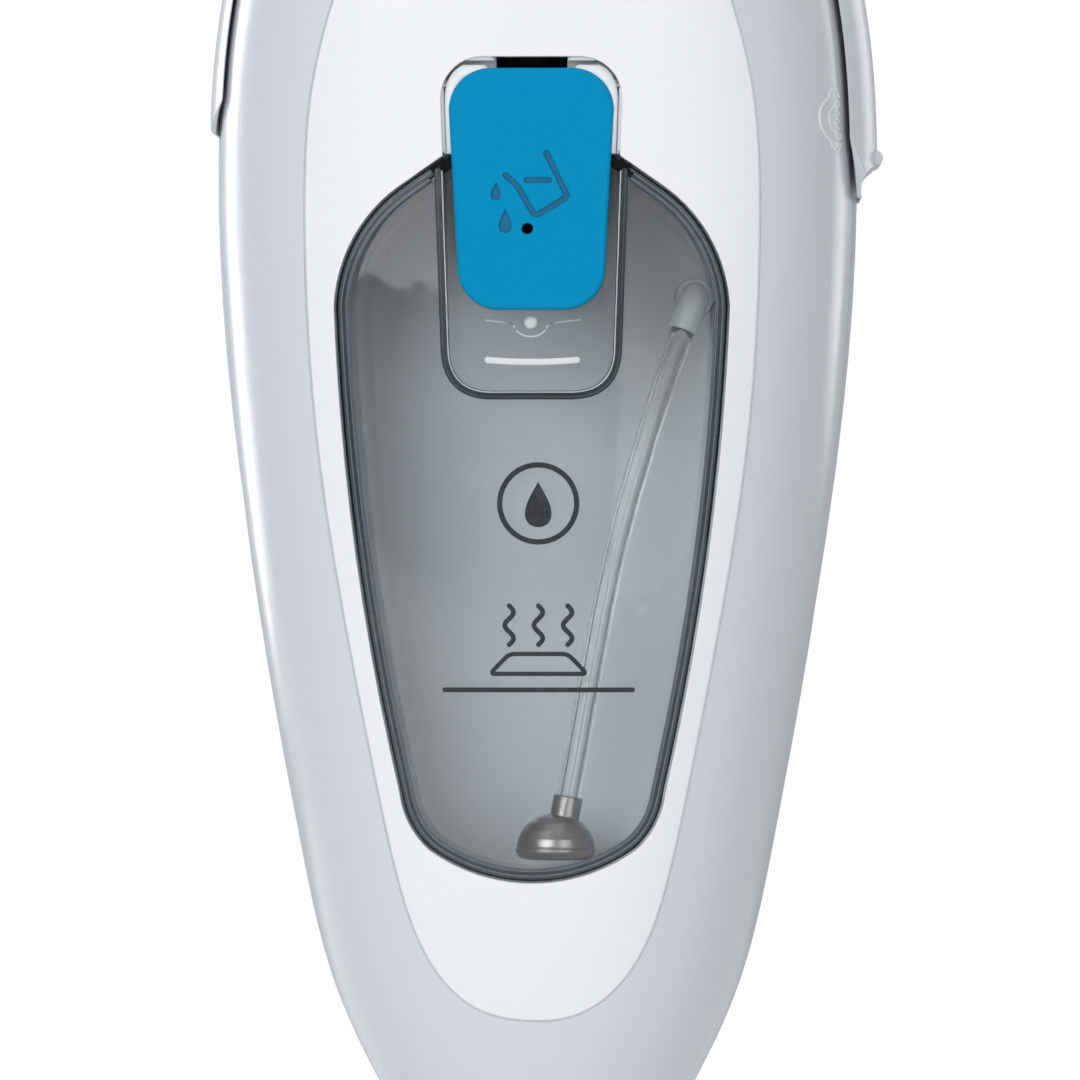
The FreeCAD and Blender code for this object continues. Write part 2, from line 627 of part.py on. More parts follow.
def make_neck():
    """Fork, two neck shells, steam hose, dock socket and its release button."""
    foot, rim, wall = size("neck_foot"), size("neck_rim"), size("neck_wall")
    outline = [
        (20.0, foot),
        (18.6, foot + 24),
        (16.8, foot + 92),
        (17.4, foot + 172),
        (20.8, foot + 218),
        (25.2, foot + 244),
        (25.4, rim),
    ]
    shell = spun_shell(outline, wall, foot, rim)
    full = spun_shell([(r - 0.6, z) for r, z in outline], 14.0, foot, rim)
    button_z = size("dock_button_z")
    window = oval_prism(size("dock_button_wide") + 1.0, size("dock_button_tall") + 1.0, button_z, -FAR, 0)
    front = shell.common(Part.makeBox(FAR, FAR, 2 * FAR, Vector(-FAR / 2, -FAR, foot)))
    rear = shell.common(Part.makeBox(FAR, FAR, 2 * FAR, Vector(-FAR / 2, size("seam"), foot)))
    front, rear = posted(front, rear, full, full, NECK_SCREWS, 17.0)
    sub_part(feature("neck_front_solid", front.cut(window)), "neck_shell_front")
    sub_part(feature("neck_rear_solid", rear), "neck_shell_rear")
    sub_part(screw_set("neck_screw", NECK_SCREWS), "neck_screws")

    ear_y = "Sizes.fork_gap/2"
    ears = [
        rod(f"fork_ear{index}", "Sizes.fork_round", "Sizes.fork_thick", ("0", y, "Sizes.roll_z"), ALONG_Y)
        for index, y in enumerate((ear_y, f"-{ear_y} - Sizes.fork_thick"))
    ]
    webs = [
        box(
            f"fork_web{index}",
            ("-12", low, "Sizes.roll_z"),
            ("12", f"{low} + Sizes.fork_thick", "Sizes.neck_foot"),
        )
        for index, low in enumerate((ear_y, f"-{ear_y} - Sizes.fork_thick"))
    ]
    crown = turned(
        "fork_crown",
        [
            ("0", "Sizes.neck_foot - 3.5"),
            ("20.4", "Sizes.neck_foot - 3.5"),
            ("20.4", "Sizes.neck_foot - 0.2"),
            ("15.9", "Sizes.neck_foot - 0.2"),
            ("15.9", "Sizes.neck_foot + 20"),
            ("0", "Sizes.neck_foot + 20"),
        ],
    )
    fork = boolean("MultiFuse", "fork_block", crown, *ears, *webs)
    roll_hole = rod("fork_pin_hole", "Sizes.pin_round", "100", ("0", "-50", "Sizes.roll_z"), ALONG_Y)
    hose_hole = rod("fork_hose_hole", "4.2", "60", ("0", "0", "Sizes.neck_foot - 10"))
    sub_part(boolean("Cut", "fork_cut", fork, roll_hole, hose_hole), "neck_fork")

    pin_reach = "Sizes.fork_gap/2 + Sizes.fork_thick"
    sub_part(
        turned(
            "roll_pin_body",
            [
                ("0", f"-({pin_reach}) - 1.5"),
                ("6", f"-({pin_reach}) - 1.5"),
                ("6", f"-({pin_reach})"),
                ("Sizes.pin_round", f"-({pin_reach})"),
                ("Sizes.pin_round", pin_reach),
                ("0", pin_reach),
            ],
            ("0", "0", "Sizes.roll_z"),
            ALONG_Y,
        ),
        "roll_pin",
    )

    sub_part(ring("neck_hose", "4", "2.4", "Sizes.neck_foot", "Sizes.dock_bottom"), "neck_steam_hose")

    socket = turned(
        "socket_turned",
        [
            ("2.4", "Sizes.dock_bottom"),
            ("16.5", "Sizes.dock_bottom"),
            ("16.5", "Sizes.neck_rim - 6"),
            ("22.6", "Sizes.neck_rim - 3.4"),
            ("22.6", "Sizes.neck_rim - 0.4"),
            ("Sizes.dock_bore", "Sizes.neck_rim - 0.4"),
            ("Sizes.dock_bore", "Sizes.nozzle_tip - 2"),
            ("2.4", "Sizes.nozzle_tip - 2"),
        ],
    )
    notch_half = "Sizes.dock_button_tall/2 + 2"
    notch = box(
        "button_notch",
        ("-9", "-30", f"Sizes.dock_button_z - ({notch_half})"),
        ("9", "-13.6", f"Sizes.dock_button_z + {notch_half}"),
    )
    sub_part(boolean("Cut", "socket_cut", socket, notch), "dock_socket")

    wide, tall = size("dock_button_wide"), size("dock_button_tall")
    cap = oval_prism(wide, tall, button_z, -27.4, -20.6)
    cap = cap.makeFillet(1.6, [e for e in cap.Edges if e.BoundBox.YMax < -27.3])
    flange = oval_prism(wide + 2.0, tall + 2.0, button_z, -20.6, -19.2)
    sub_part(feature("dock_button_solid", cap.fuse(flange).removeSplitter()), "dock_button")
    sub_part(coil("dock_spring_coil", 3.1, 0.4, -19.2, -13.6, button_z), "dock_button_spring")


def coil(name, radius, wire_radius, front, back, height):
    """A small compression spring along Y between two flats."""
    bends, per_turn = 18, 8
    first, last = front + wire_radius, back - wire_radius
    points = []
    for step in range(bends + 1):
        angle = 2 * math.pi * step / per_turn
        along = first + (last - first) * step / bends
        points.append(Vector(radius * math.cos(angle), along, height + radius * math.sin(angle)))
    return feature(name, bent_rod(points, wire_radius))


# ---------------------------------------------------------------- steam unit


def hull(side=0.0, front=0.0, rear=0.0, ends=0.0, skew=0.0):
    """The steam unit's outer form, grown or shrunk sideways, in front, behind and at its ends.

    skew adds to the half width from the middle of the body upwards only.
    """
    wires = []
    last = len(HULL_LEVELS)
    steps = 24
    for index in range(1, last + 1):
        z, half, depth, back, power = (size(f"hull{index}_{word}") for word in HULL_WORDS)
        z += ends if index == last else -ends if index == 1 else 0.0
        lift = min(1.0, max(0.0, (z - 500.0) / 60.0)) * min(1.0, max(0.0, (717.0 - z) / 60.0))
        points = []
        for step in range(steps):
            angle = math.pi / 2 + 2 * math.pi * step / steps
            across, along = math.cos(angle), math.sin(angle)
            reach_y = back + rear if along > 0 else depth + front
            points.append(Vector(
                (half + side + skew * lift) * math.copysign(abs(across) ** (2 / power), across),
                reach_y * math.copysign(abs(along) ** (2 / power), along),
                z,
            ))
        curve = Part.BSplineCurve()
        knots = [float(step) for step in range(steps + 1)]
        curve.interpolate(Points=points, PeriodicFlag=True, Parameters=knots)
        wires.append(Part.Wire(curve.toShape()))
    return Part.makeLoft(wires, True, False)


def tank_wire():
    """Outline of the tank's face in the XZ plane: slanted shoulders and a rounded foot."""
    top, shoulder, hip, heel, toe = (
        Vector(14.5, 0, 600.8),
        Vector(27.5, 0, 591.8),
        Vector(40.3, 0, 568.0),
        Vector(27.0, 0, 468.0),
        Vector(21.1, 0, 456.4),
    )
    right = [
        Part.LineSegment(top, shoulder),
        Part.Arc(shoulder, Vector(37.6, 0, 579.3), hip),
        Part.Arc(hip, Vector(35.9, 0, 517.0), heel),
        Part.Arc(heel, Vector(25.0, 0, 461.4), toe),
    ]
    shapes = [curve.toShape() for curve in right]
    shapes += [shape.mirror(Vector(), X_AXIS) for shape in shapes]
    left_top, left_toe = Vector(-top.x, 0, top.z), Vector(-toe.x, 0, toe.z)
    shapes.append(Part.LineSegment(left_top, top).toShape())
    shapes.append(Part.Arc(left_toe, Vector(0, 0, 449.6), toe).toShape())
    return Part.Wire(Part.__sortEdges__(shapes))


def rounded_taper(top, foot, half_top, half_foot, corner):
    """A rounded outline in the XZ plane that narrows towards its foot."""
    points = [
        Vector(-half_foot, 0, foot),
        Vector(half_foot, 0, foot),
        Vector(half_top, 0, top),
        Vector(-half_top, 0, top),
    ]
    edges, _ = bend_edges(points, closed=True, radius=corner)
    return Part.Wire(Part.__sortEdges__(edges))


def recess_wire(grow=0.0):
    """Outline of the recess that the filler cap lies in."""
    return rounded_taper(619.1 + grow, 550.6 - grow, 18.9 + grow, 16.5 + grow, 8.5 + grow)


def cap_wire():
    """Outline of the filler cap."""
    return rounded_taper(size("cap_top"), size("cap_foot"), 17.4, 14.7, 8.6)


def panel_wire(grow):
    """Edge of the front panel, moved outwards by a margin, as four curves end to end."""
    points = mirrored([Vector(x, 0, z) for x, z in PANEL_EDGE])
    edge = smooth_curve(points)
    moved = []
    for step, point in enumerate(points):
        outward = edge.tangent(float(step))[0].cross(Y_AXIS)
        moved.append(point - outward * grow)
    whole, run = smooth_curve(moved), len(moved) // 4
    return Part.Wire([whole.toShape(float(a), float(a + run)) for a in range(0, 4 * run, run)])


# x, z and seat depth of the screws that hold the rear cover
COVER_SCREWS = ((-40.0, 490.0, 31.0), (40.0, 490.0, 31.0), (-52.0, 600.0, 35.4), (52.0, 600.0, 35.4))
# x, z and face depth of the pads inside the rear cover that the works are fastened to
WORKS_PADS = (
    (-25.0, 462.0, 30.0),
    (25.0, 462.0, 30.0),
    (-25.0, 510.0, 30.0),
    (25.0, 510.0, 30.0),
    (-28.0, 580.0, 28.0),
    (-13.0, 601.0, 28.0),
    (-6.0, 641.0, 30.8),
    (30.0, 667.0, 30.8),
)
GLAND_Z, GLAND_SEAT = 665.0, 50.6
STEM_Z = 624.0


def make_shells():
    """Front cover, front panel with the cap's recess, rear cover and the left finger rest."""
    wall, seam, parting = size("hull_wall"), size("seam"), size("parting_y")
    outer = hull()
    cavity = hull(-wall, -wall, -wall, -wall)
    front_half = Part.makeBox(FAR, FAR, 400, Vector(-FAR / 2, parting - FAR, 360))
    collar_hole = Part.makeCylinder(size("collar_round") - 3.0, 60, Vector(0, 0, 690))
    nozzle_hole = Part.makeCylinder(size("nozzle_round") + 0.2, 60, Vector(0, 0, 360))
    skin = outer.cut(cavity).common(front_half).cut(collar_hole).cut(nozzle_hole)

    rear_outer = hull(0, 0, 0, 0, size("rear_proud"))
    rear_half = Part.makeBox(FAR, FAR, 400, Vector(-FAR / 2, parting + seam, 360))
    rear = rear_outer.cut(cavity).common(rear_half).cut(collar_hole).cut(nozzle_hole)
    gland_boss = Part.makeCylinder(13.0, 12.0, Vector(0, GLAND_SEAT - 12.0, GLAND_Z), Y_AXIS)
    rear = rear.fuse(gland_boss)
    within = hull(-0.8, -0.8, -0.8, -0.8)
    for x, z, face in WORKS_PADS:
        rear = rear.fuse(Part.makeCylinder(3.2, 60, Vector(x, face, z), Y_AXIS).common(within))
    surround = skin.cut(prism(panel_wire(seam / 2), -FAR, 0))
    surround, rear = posted(surround, rear, within, within, COVER_SCREWS, 60.0)
    rear = rear.cut(Part.makeCylinder(8.0, 60, Vector(0, 20, GLAND_Z), Y_AXIS))
    rear = rear.cut(Part.makeBox(30, 7.0, 18.0, Vector(50, 7.5, STEM_Z - 3.5)))
    sub_part(feature("front_solid", surround), "front_cover")
    sub_part(feature("rear_solid", rear), "rear_cover")

    sub_part(feature("panel_solid", front_panel(skin, outer)), "front_panel")

    saddle = hull(2.0, -7.2, 0.6, 0, 0.4).cut(hull(0.1, 0.1, 0.1, 0.1, size("rear_proud")))
    ramp_edge = [Vector(x, -FAR, z) for x, z in ((-80, 600), (-68.3, 606), (-70.2, 614), (-80, 614))]
    ramp = Part.Face(Part.makePolygon(ramp_edge + ramp_edge[:1])).extrude(Vector(0, 2 * FAR, 0))
    outline = [
        Vector(0, -27, 613),
        Vector(0, -14, 606),
        Vector(0, 24, 606),
        Vector(0, 24, 668),
        Vector(0, -16, 680),
        Vector(0, -30, 664),
    ]
    zone = Part.Face(Part.makePolygon(outline + outline[:1])).extrude(Vector(-FAR, 0, 0))
    sub_part(feature("rest_solid", saddle.common(zone).cut(ramp)), "side_rest")
    return outer


def front_panel(skin, outer):
    """Egg-shaped front panel with the tank's window and the cap's recess."""
    floor, upper_floor = size("recess_floor"), size("pocket_floor")
    grow = size("recess_wall")
    upper = Part.makeBox(FAR, FAR, FAR, Vector(-FAR / 2, -FAR / 2, size("pocket_foot")))
    slot = prism(recess_wire(), -FAR, floor).cut(upper)
    slot = slot.fuse(prism(recess_wire(), -FAR, upper_floor).common(upper))
    upper.translate(Vector(0, 0, grow))
    tray = prism(recess_wire(grow), -FAR, floor + grow).cut(upper)
    tray = tray.fuse(prism(recess_wire(grow), -FAR, floor))
    window = prism(offset_wire(tank_wire(), size("tank_gap")), -FAR, 0)
    finger_slot = Part.makeBox(14.6, 10.0, 5.0, Vector(-7.3, -54.0, 616.5))
    panel = skin.common(prism(panel_wire(-size("seam") / 2), -FAR, 0)).fuse(tray.common(outer))
    panel = panel.removeSplitter().cut(slot).cut(window).cut(finger_slot)
    pivot = Vector(0, size("cap_pivot_y"), size("cap_pivot_z"))
    reach = size("cap_pin_half") + 0.1
    pin_hole = Part.makeCylinder(size("cap_pin_round"), 2 * reach, pivot - X_AXIS * reach, X_AXIS)
    lamp_hole = Part.makeCylinder(3.8, 20, Vector(0, -62, LAMP_Z), Y_AXIS)
    return panel.cut(pin_hole).cut(lamp_hole)


LAMP_Z = 648.0


def make_side_slider():
    """Steam slider on the right flank: a feathered saddle with a finger lip over a cove."""
    clear = 0.45
    plate = hull(4.6, -13.7, 1.4, 0, 0.6).cut(hull(clear, clear, clear, clear, size("rear_proud")))
    outline = [
        Vector(0, -26, 604),
        Vector(0, -17, 592),
        Vector(0, 13, 592),
        Vector(0, 22, 604),
        Vector(0, 22, 648),
        Vector(0, 12, 660),
        Vector(0, -16, 660),
        Vector(0, -26, 648),
    ]
    zone = Part.Face(Part.makePolygon(outline + outline[:1])).extrude(Vector(FAR, 0, 0))
    cove = Part.makeCylinder(6.2, 2 * FAR, Vector(74.6, -FAR, 593.4), Y_AXIS)
    lip = Part.makeCylinder(1.5, 24, Vector(71.6, -13, 600.5), Y_AXIS)
    stem = Part.makeBox(11.0, 6.0, 8.0, Vector(57.5, 8.0, STEM_Z - 3.0))
    slider = plate.common(zone).cut(cove).fuse([lip, stem]).removeSplitter()
    sub_part(feature("slider_solid", slider), "steam_slider")


# hole in the tank's rear wall for the intake elbow
OUTLET_X, OUTLET_Z = 33.6, 571.0


def make_tank(outer):
    """Clear tank in two welded halves, and the white cradle that it sits in."""
    wall, back, weld = size("tank_wall"), size("tank_back"), size("tank_weld")
    floor, grow = size("recess_floor"), size("recess_wall")
    face = prism(tank_wire(), -FAR, back).common(outer)
    inner_zone = prism(offset_wire(tank_wire(), -wall), -FAR, back - wall)
    room = inner_zone.common(hull(-wall, -wall, -wall, -wall))
    room = room.cut(prism(recess_wire(grow), -FAR, floor + wall))
    slot = prism(recess_wire(), -FAR, floor)
    filler = Part.makeCylinder(size("filler_round"), 12, Vector(0, floor - 4, size("filler_z")), Y_AXIS)
    outlet = Part.makeCylinder(3.2, 12, Vector(OUTLET_X, back - 6, OUTLET_Z), Y_AXIS)
    tank = face.cut(room).cut(slot).cut(filler).cut(outlet)
    front_zone = Part.makeBox(FAR, FAR, FAR, Vector(-FAR / 2, weld - FAR, 430))
    rear_zone = Part.makeBox(FAR, FAR, FAR, Vector(-FAR / 2, weld, 430))
    rib = Part.makeBox(20.4, 1.4, 1.1, Vector(-10.2, floor - 1.2, 563.4))
    sub_part(feature("tank_front_solid", tank.common(front_zone).fuse(rib).removeSplitter()), "tank_front")
    sub_part(feature("tank_rear_solid", tank.common(rear_zone)), "tank_rear")

    gap, skin = size("tank_gap"), 1.8
    cradle = prism(offset_wire(tank_wire(), gap + skin), -46.0, back + gap + skin)
    cradle = cradle.cut(prism(offset_wire(tank_wire(), gap), -FAR, back + gap))
    inside = -size("hull_wall") - 0.3
    cradle = cradle.common(hull(inside, inside, inside, inside))
    cradle = cradle.cut(prism(recess_wire(grow + 0.4), -FAR, -41.0))
    cradle = cradle.cut(Part.makeCylinder(4.2, 12, Vector(OUTLET_X, back - 4, OUTLET_Z), Y_AXIS))
    sub_part(feature("cradle_solid", cradle), "tank_cradle")


# the intake hose leaves the elbow and hangs to the weight at the tank's foot
INTAKE_ROUTE = [
    Vector(30.96, -23.6, 563.64),
    Vector(26.34, -26.4, 550.76),
    Vector(22.3, -28.8, 537.5),
    Vector(18.3, -30.4, 524.0),
    Vector(15.0, -31.4, 509.5),
    Vector(12.2, -32.0, 494.5),
    Vector(9.7, -32.0, 480.2),
    Vector(6.6, -32.0, 463.6),
]


def make_intake():
    """Elbow in the tank's rear wall, flexible hose and the metal weight that finds the water."""
    back, wall = size("tank_back"), size("tank_wall")
    hose, bore = size("intake_round"), size("intake_bore")
    inner_face = back - wall
    corner = Vector(OUTLET_X, -22.0, OUTLET_Z)
    body = bent_tube([Vector(OUTLET_X, back + 7.0, OUTLET_Z), corner, INTAKE_ROUTE[0]], 3.1, bore)
    flange = Part.makeCylinder(4.0, 1.6, Vector(OUTLET_X, inner_face - 1.6, OUTLET_Z), Y_AXIS)
    flange = flange.cut(Part.makeCylinder(bore, 8, Vector(OUTLET_X, inner_face - 4, OUTLET_Z), Y_AXIS))
    sub_part(feature("elbow_solid", body.fuse(flange).removeSplitter()), "intake_elbow")

    tube = bent_tube(INTAKE_ROUTE, hose, bore)
    edges, radii = bend_edges(INTAKE_ROUTE)
    length = sum(edge.Length for edge in edges)
    section = math.pi * (hose**2 - bore**2)
    print(f"intake hose: length {length:.1f}, bend radii {[round(r, 1) for r in radii]}")
    print(f"intake hose: volume {tube.Volume:.1f}, section times length {section * length:.1f}")
    sub_part(feature("intake_hose_solid", tube), "intake_hose")

    foot = Vector(size("weight_x"), INTAKE_ROUTE[-1].y, size("weight_foot"))
    broad = "Sizes.weight_round"
    dome = turned(
        "weight_dome",
        [
            ("0", "0"),
            (f"{broad} * 0.76", "0"),
            (f"{broad} * 0.92", "0.5"),
            (broad, "1.7"),
            (broad, "2.2"),
            (f"{broad} - 0.35", "2.4"),
            (f"{broad} * 0.97", "2.8"),
            (f"{broad} * 0.94", "4.3"),
            (f"{broad} * 0.85", "6.0"),
            (f"{broad} * 0.69", "7.6"),
            (f"{broad} * 0.48", "8.8"),
            (f"{broad} * 0.24", "9.4"),
            ("0", "9.6"),
        ],
        (str(foot.x), str(foot.y), str(foot.z)),
    )
    doc.recompute()
    along = (INTAKE_ROUTE[-2] - INTAKE_ROUTE[-1]).normalize()
    seat = INTAKE_ROUTE[-1]
    socket = Part.makeCylinder(hose + 0.55, 10.4, seat - along * 7.2, along)
    socket = socket.makeFillet(0.25, [e for e in socket.Edges if e.BoundBox.ZMin > seat.z])
    room = Part.makeCylinder(hose, 12, seat, along)
    passage = Part.makeCylinder(1.2, 30, seat - along * 20, along)
    weight = dome.Shape.fuse(socket).removeSplitter().cut(room).cut(passage)
    sub_part(feature("weight_solid", weight), "intake_weight")


def make_cap():
    """Filler cap on its hinge, with the rubber plug that closes the filler hole."""
    thick = size("cap_thick")
    pivot = Vector(0, size("cap_pivot_y"), size("cap_pivot_z"))
    face = hull(0.0, 0.2, 0.0)
    plate = prism(cap_wire(), -FAR, -40.0).common(face).cut(hull(0.0, 0.2 - thick, 0.0))
    corner = [e for e in plate.Edges if e.BoundBox.ZMin > 616.7 and e.BoundBox.YMax < -56.5]
    plate = plate.makeFillet(1.0, corner)
    knuckle = Part.makeCylinder(1.9, 24.0, pivot - X_AXIS * 12.0, X_AXIS)
    boss = Part.makeCylinder(6.4, 4.4, Vector(0, -54.7, size("filler_z")), Y_AXIS)
    cap = plate.fuse([knuckle, boss]).removeSplitter()
    pin_play = Part.makeCylinder(size("cap_pin_round") + 0.06, 40, pivot - X_AXIS * 20, X_AXIS)
    vent = Part.makeCylinder(1.2, 30, Vector(-0.8, -70, 583.8), Y_AXIS)
    sub_part(feature("cap_solid", cap.cut(pin_play).cut(vent)), "filler_cap")

    seal_y = -50.3
    seal = turned(
        "seal_turned",
        [
            ("0", "0"),
            ("12.4", "0"),
            ("12.4", "1.4"),
            ("9.4", "2.0"),
            ("9.0", "3.4"),
            ("8.6", "5.4"),
            ("0", "5.4"),
        ],
        ("0", f"{seal_y}", "Sizes.filler_z"),
        ALONG_Y,
    )
    sub_part(seal, "cap_seal")
    end = ("-Sizes.cap_pin_half", "Sizes.cap_pivot_y", "Sizes.cap_pivot_z")
    pin = rod("cap_pin_rod", "Sizes.cap_pin_round", "2 * Sizes.cap_pin_half", end, ALONG_X)
    sub_part(pin, "cap_hinge_pin")


def make_nozzle():
    """Steam nozzle at the foot of the steam unit, and its O-ring."""
    tip, bore = "Sizes.nozzle_tip", "Sizes.nozzle_bore"
    sub_part(
        turned(
            "nozzle_turned",
            [
                (bore, tip),
                ("Sizes.nozzle_round - 1.5", tip),
                ("Sizes.nozzle_round", f"{tip} + 2"),
                ("Sizes.nozzle_round", f"{tip} + 9"),
                ("Sizes.nozzle_round - 1.6", f"{tip} + 9"),
                ("Sizes.nozzle_round - 1.6", f"{tip} + 11"),
                ("Sizes.nozzle_round", f"{tip} + 11"),
                ("Sizes.nozzle_round", f"{tip} + 43.2"),
                ("18", f"{tip} + 43.2"),
                ("18", f"{tip} + 46"),
                ("8", f"{tip} + 46"),
                ("8", f"{tip} + 56"),
                (bore, f"{tip} + 56"),
            ],
        ),
        "steam_nozzle",
    )
    seal = primitive("Torus", "nozzle_seal", ("0", "0", f"{tip} + 10"),
                     Radius1="Sizes.nozzle_round - 0.8", Radius2="0.75")
    sub_part(seal, "nozzle_o_ring")


def make_works():
    """Pump, boiler, thermostat, pipes, board, switch and lamp behind the tank."""
    pump_x, pump_y, spout = "-20", "17", "2.9"
    pump_body = block("pump_block", "26", "34", "22", (pump_x, pump_y, "590"), "XZ_Plane", "4")
    drum = rod("pump_drum", "11", "22", (pump_x, pump_y, "551"))
    inlet = rod("pump_inlet_spout", spout, "9", (pump_x, pump_y, "606"))
    outlet = rod("pump_outlet_spout", spout, "9", (pump_x, pump_y, "543"))
    sub_part(boolean("MultiFuse", "pump_joined", pump_body, drum, inlet, outlet), "pump")

    suction = [
        Vector(OUTLET_X, size("tank_back") + 3.4, OUTLET_Z),
        Vector(OUTLET_X, 13.0, OUTLET_Z),
        Vector(25.0, 18.0, 601.0),
        Vector(6.0, 18.0, 635.0),
        Vector(-20.0, 17.0, 639.0),
        Vector(-20.0, 17.0, 609.0),
    ]
    sub_part(feature("suction_solid", bent_tube(suction, 4.1, 3.15)), "pump_inlet_hose")
    sub_part(ring("delivery_hose", "4.1", "3.1", "526", "549"), "pump_outlet_hose")
    doc.getObject("delivery_hose").setExpression("Placement.Base.x", pump_x)
    doc.getObject("delivery_hose").setExpression("Placement.Base.y", pump_y)

    casting = block("boiler_casting", "62", "78", "24", ("0", "18", "485"), "XZ_Plane", "9")
    feed = rod("boiler_feed", spout, "12", (pump_x, pump_y, "520"))
    drain = rod("boiler_drain", spout, "8", ("0", "18", "441"))
    fins = [
        box(f"boiler_fin{index}", (f"{x}", "28", "452"), (f"{x} + 2.6", "33", "518"))
        for index, x in enumerate((-18, -9, 0, 9, 16))
    ]
    sub_part(boolean("MultiFuse", "boiler_joined", casting, feed, drain, *fins), "boiler")
    sub_part(
        turned(
            "thermostat_turned",
            [("0", "0"), ("8", "0"), ("8", "3.5"), ("5.5", "4.5"), ("5.5", "9"), ("0", "9")],
            ("0", "6", "505"),
            Rotation(X_AXIS, 90),
        ),
        "thermostat",
    )
    outlet_pipe = [
        Vector(0, 18, 445),
        Vector(0, 18, 431),
        Vector(0, 11, 420),
        Vector(0, 0, 412),
        Vector(0, 0, 399),
    ]
    sub_part(feature("steam_pipe_solid", bent_tube(outlet_pipe, 4.1, 3.1)), "steam_pipe")

    board = block("board_plate", "44", "34", "1.6", ("12", "30", "654"), "XZ_Plane", "2")
    holes = [
        rod(f"board_hole{index}", "1.3", "10", (str(x), "25", str(z)), ALONG_Y)
        for index, (x, z, _) in enumerate(WORKS_PADS[-2:])
    ]
    sub_part(boolean("Cut", "board_cut", board, *holes), "control_board")
    sub_part(block("switch_block", "9", "14", "8", ("52", "11", "628"), "XZ_Plane", "1"), "steam_switch")
    lamp = turned(
        "lamp_turned",
        [("0", "0"), ("3.6", "0"), ("3.6", "9.2"), ("2.6", "10.2"), ("0", "10.6")],
        ("0", "-46.6", str(LAMP_Z)),
        Rotation(X_AXIS, 90),
    )
    sub_part(lamp, "ready_lamp")
    gland = turned(
        "gland_turned",
        [
            ("4.2", "-9"),
            ("7.8", "-9"),
            ("7.8", "0"),
            ("10.6", "0"),
            ("10.6", "2.4"),
            ("6.8", "2.8"),
            ("5.6", "16"),
            ("4.2", "16"),
        ],
        ("0", str(GLAND_SEAT), str(GLAND_Z)),
        ALONG_Y,
    )
    sub_part(gland, "cord_gland")
    sub_part(screw_set("cover_screw", COVER_SCREWS), "cover_screws")


def oval_sweep(points, half_x, half_in, closed=False, radius=None):
    """Sweeps an ellipse along a path in the YZ plane; its long axis stays along X."""
    edges, _ = bend_edges(points, closed=closed, radius=radius)
    path = Part.Wire(Part.__sortEdges__(edges))
    start = edges[0].valueAt(edges[0].FirstParameter)
    heading = edges[0].tangentAt(edges[0].FirstParameter)
    ellipse = Part.Ellipse(Vector(), half_x, half_in).toShape()
    ellipse.Placement = Placement(start, Rotation(X_AXIS, heading.cross(X_AXIS), heading, "ZXY"))
    return path.makePipeShell([Part.Wire(ellipse)], True, True)


def sleeve(start, end, low, high, half_x, half_in, thick):
    """A soft oval sleeve round part of a straight run, between two fractions of its length."""
    run = end - start
    near, far = start + run * low, start + run * high
    spare = run.normalize()
    outside = oval_sweep([near, far], half_x + thick, half_in + thick)
    return outside.cut(oval_sweep([near - spare, far + spare], half_x + 0.1, half_in + 0.1))


# path of the carry handle behind the steam unit, in the YZ plane
CARRY_PATH = [Vector(0, 34, 626), Vector(0, 90, 638), Vector(0, 94, 546), Vector(0, 34, 526)]
CARRY_WIDE, CARRY_DEEP = 13.0, 9.0


def make_carry_handle():
    """Loop handle on the back of the steam unit, with its soft grip."""
    rear_outer = hull(0.02, 0.02, 0.02, 0, size("rear_proud"))
    loop = oval_sweep(CARRY_PATH, CARRY_WIDE, CARRY_DEEP, False, 26.0)
    sub_part(feature("carry_solid", loop.cut(rear_outer)), "carry_handle")
    grip = sleeve(CARRY_PATH[1], CARRY_PATH[2], 0.3, 0.72, CARRY_WIDE, CARRY_DEEP, 1.4)
    sub_part(feature("carry_grip_solid", grip), "carry_grip")


def make_collar():
    """Collar on top of the steam unit, with the sprung button that frees the handle."""
    outer, rim, bore = "Sizes.collar_round", "Sizes.collar_rim", "Sizes.collar_bore"
    collar = turned(
        "collar_turned",
        [
            (bore, "Sizes.collar_foot"),
            (f"{outer} - 3.2", "Sizes.collar_foot"),
            (f"{outer} - 3.2", "717.2"),
            (outer, "717.2"),
            (outer, f"{rim} - 2"),
            (f"{outer} - 2", rim),
            (bore, rim),
        ],
    )
    pocket = rod("button_pocket", "6.3", "13", ("0", "-29.8", "Sizes.tube_button_z"), ALONG_Y)
    sub_part(boolean("Cut", "collar_cut", collar, pocket), "top_collar")
    button = turned(
        "tube_button_turned",
        [("0", "0"), ("5", "0"), ("6", "1"), ("6", "3.8"), ("0", "3.8")],
        ("0", "-24.4", "Sizes.tube_button_z"),
        ALONG_Y,
    )
    sub_part(button, "tube_button")
    sub_part(coil("tube_spring_coil", 3.0, 0.4, -20.6, -16.8, size("tube_button_z")), "tube_button_spring")


# ---------------------------------------------------------------- handle

# path of the handle's loop, in the YZ plane
LOOP_PATH = [Vector(0, 0, 1092), Vector(0, -4, 1212), Vector(0, 52, 1206), Vector(0, 60, 1112)]


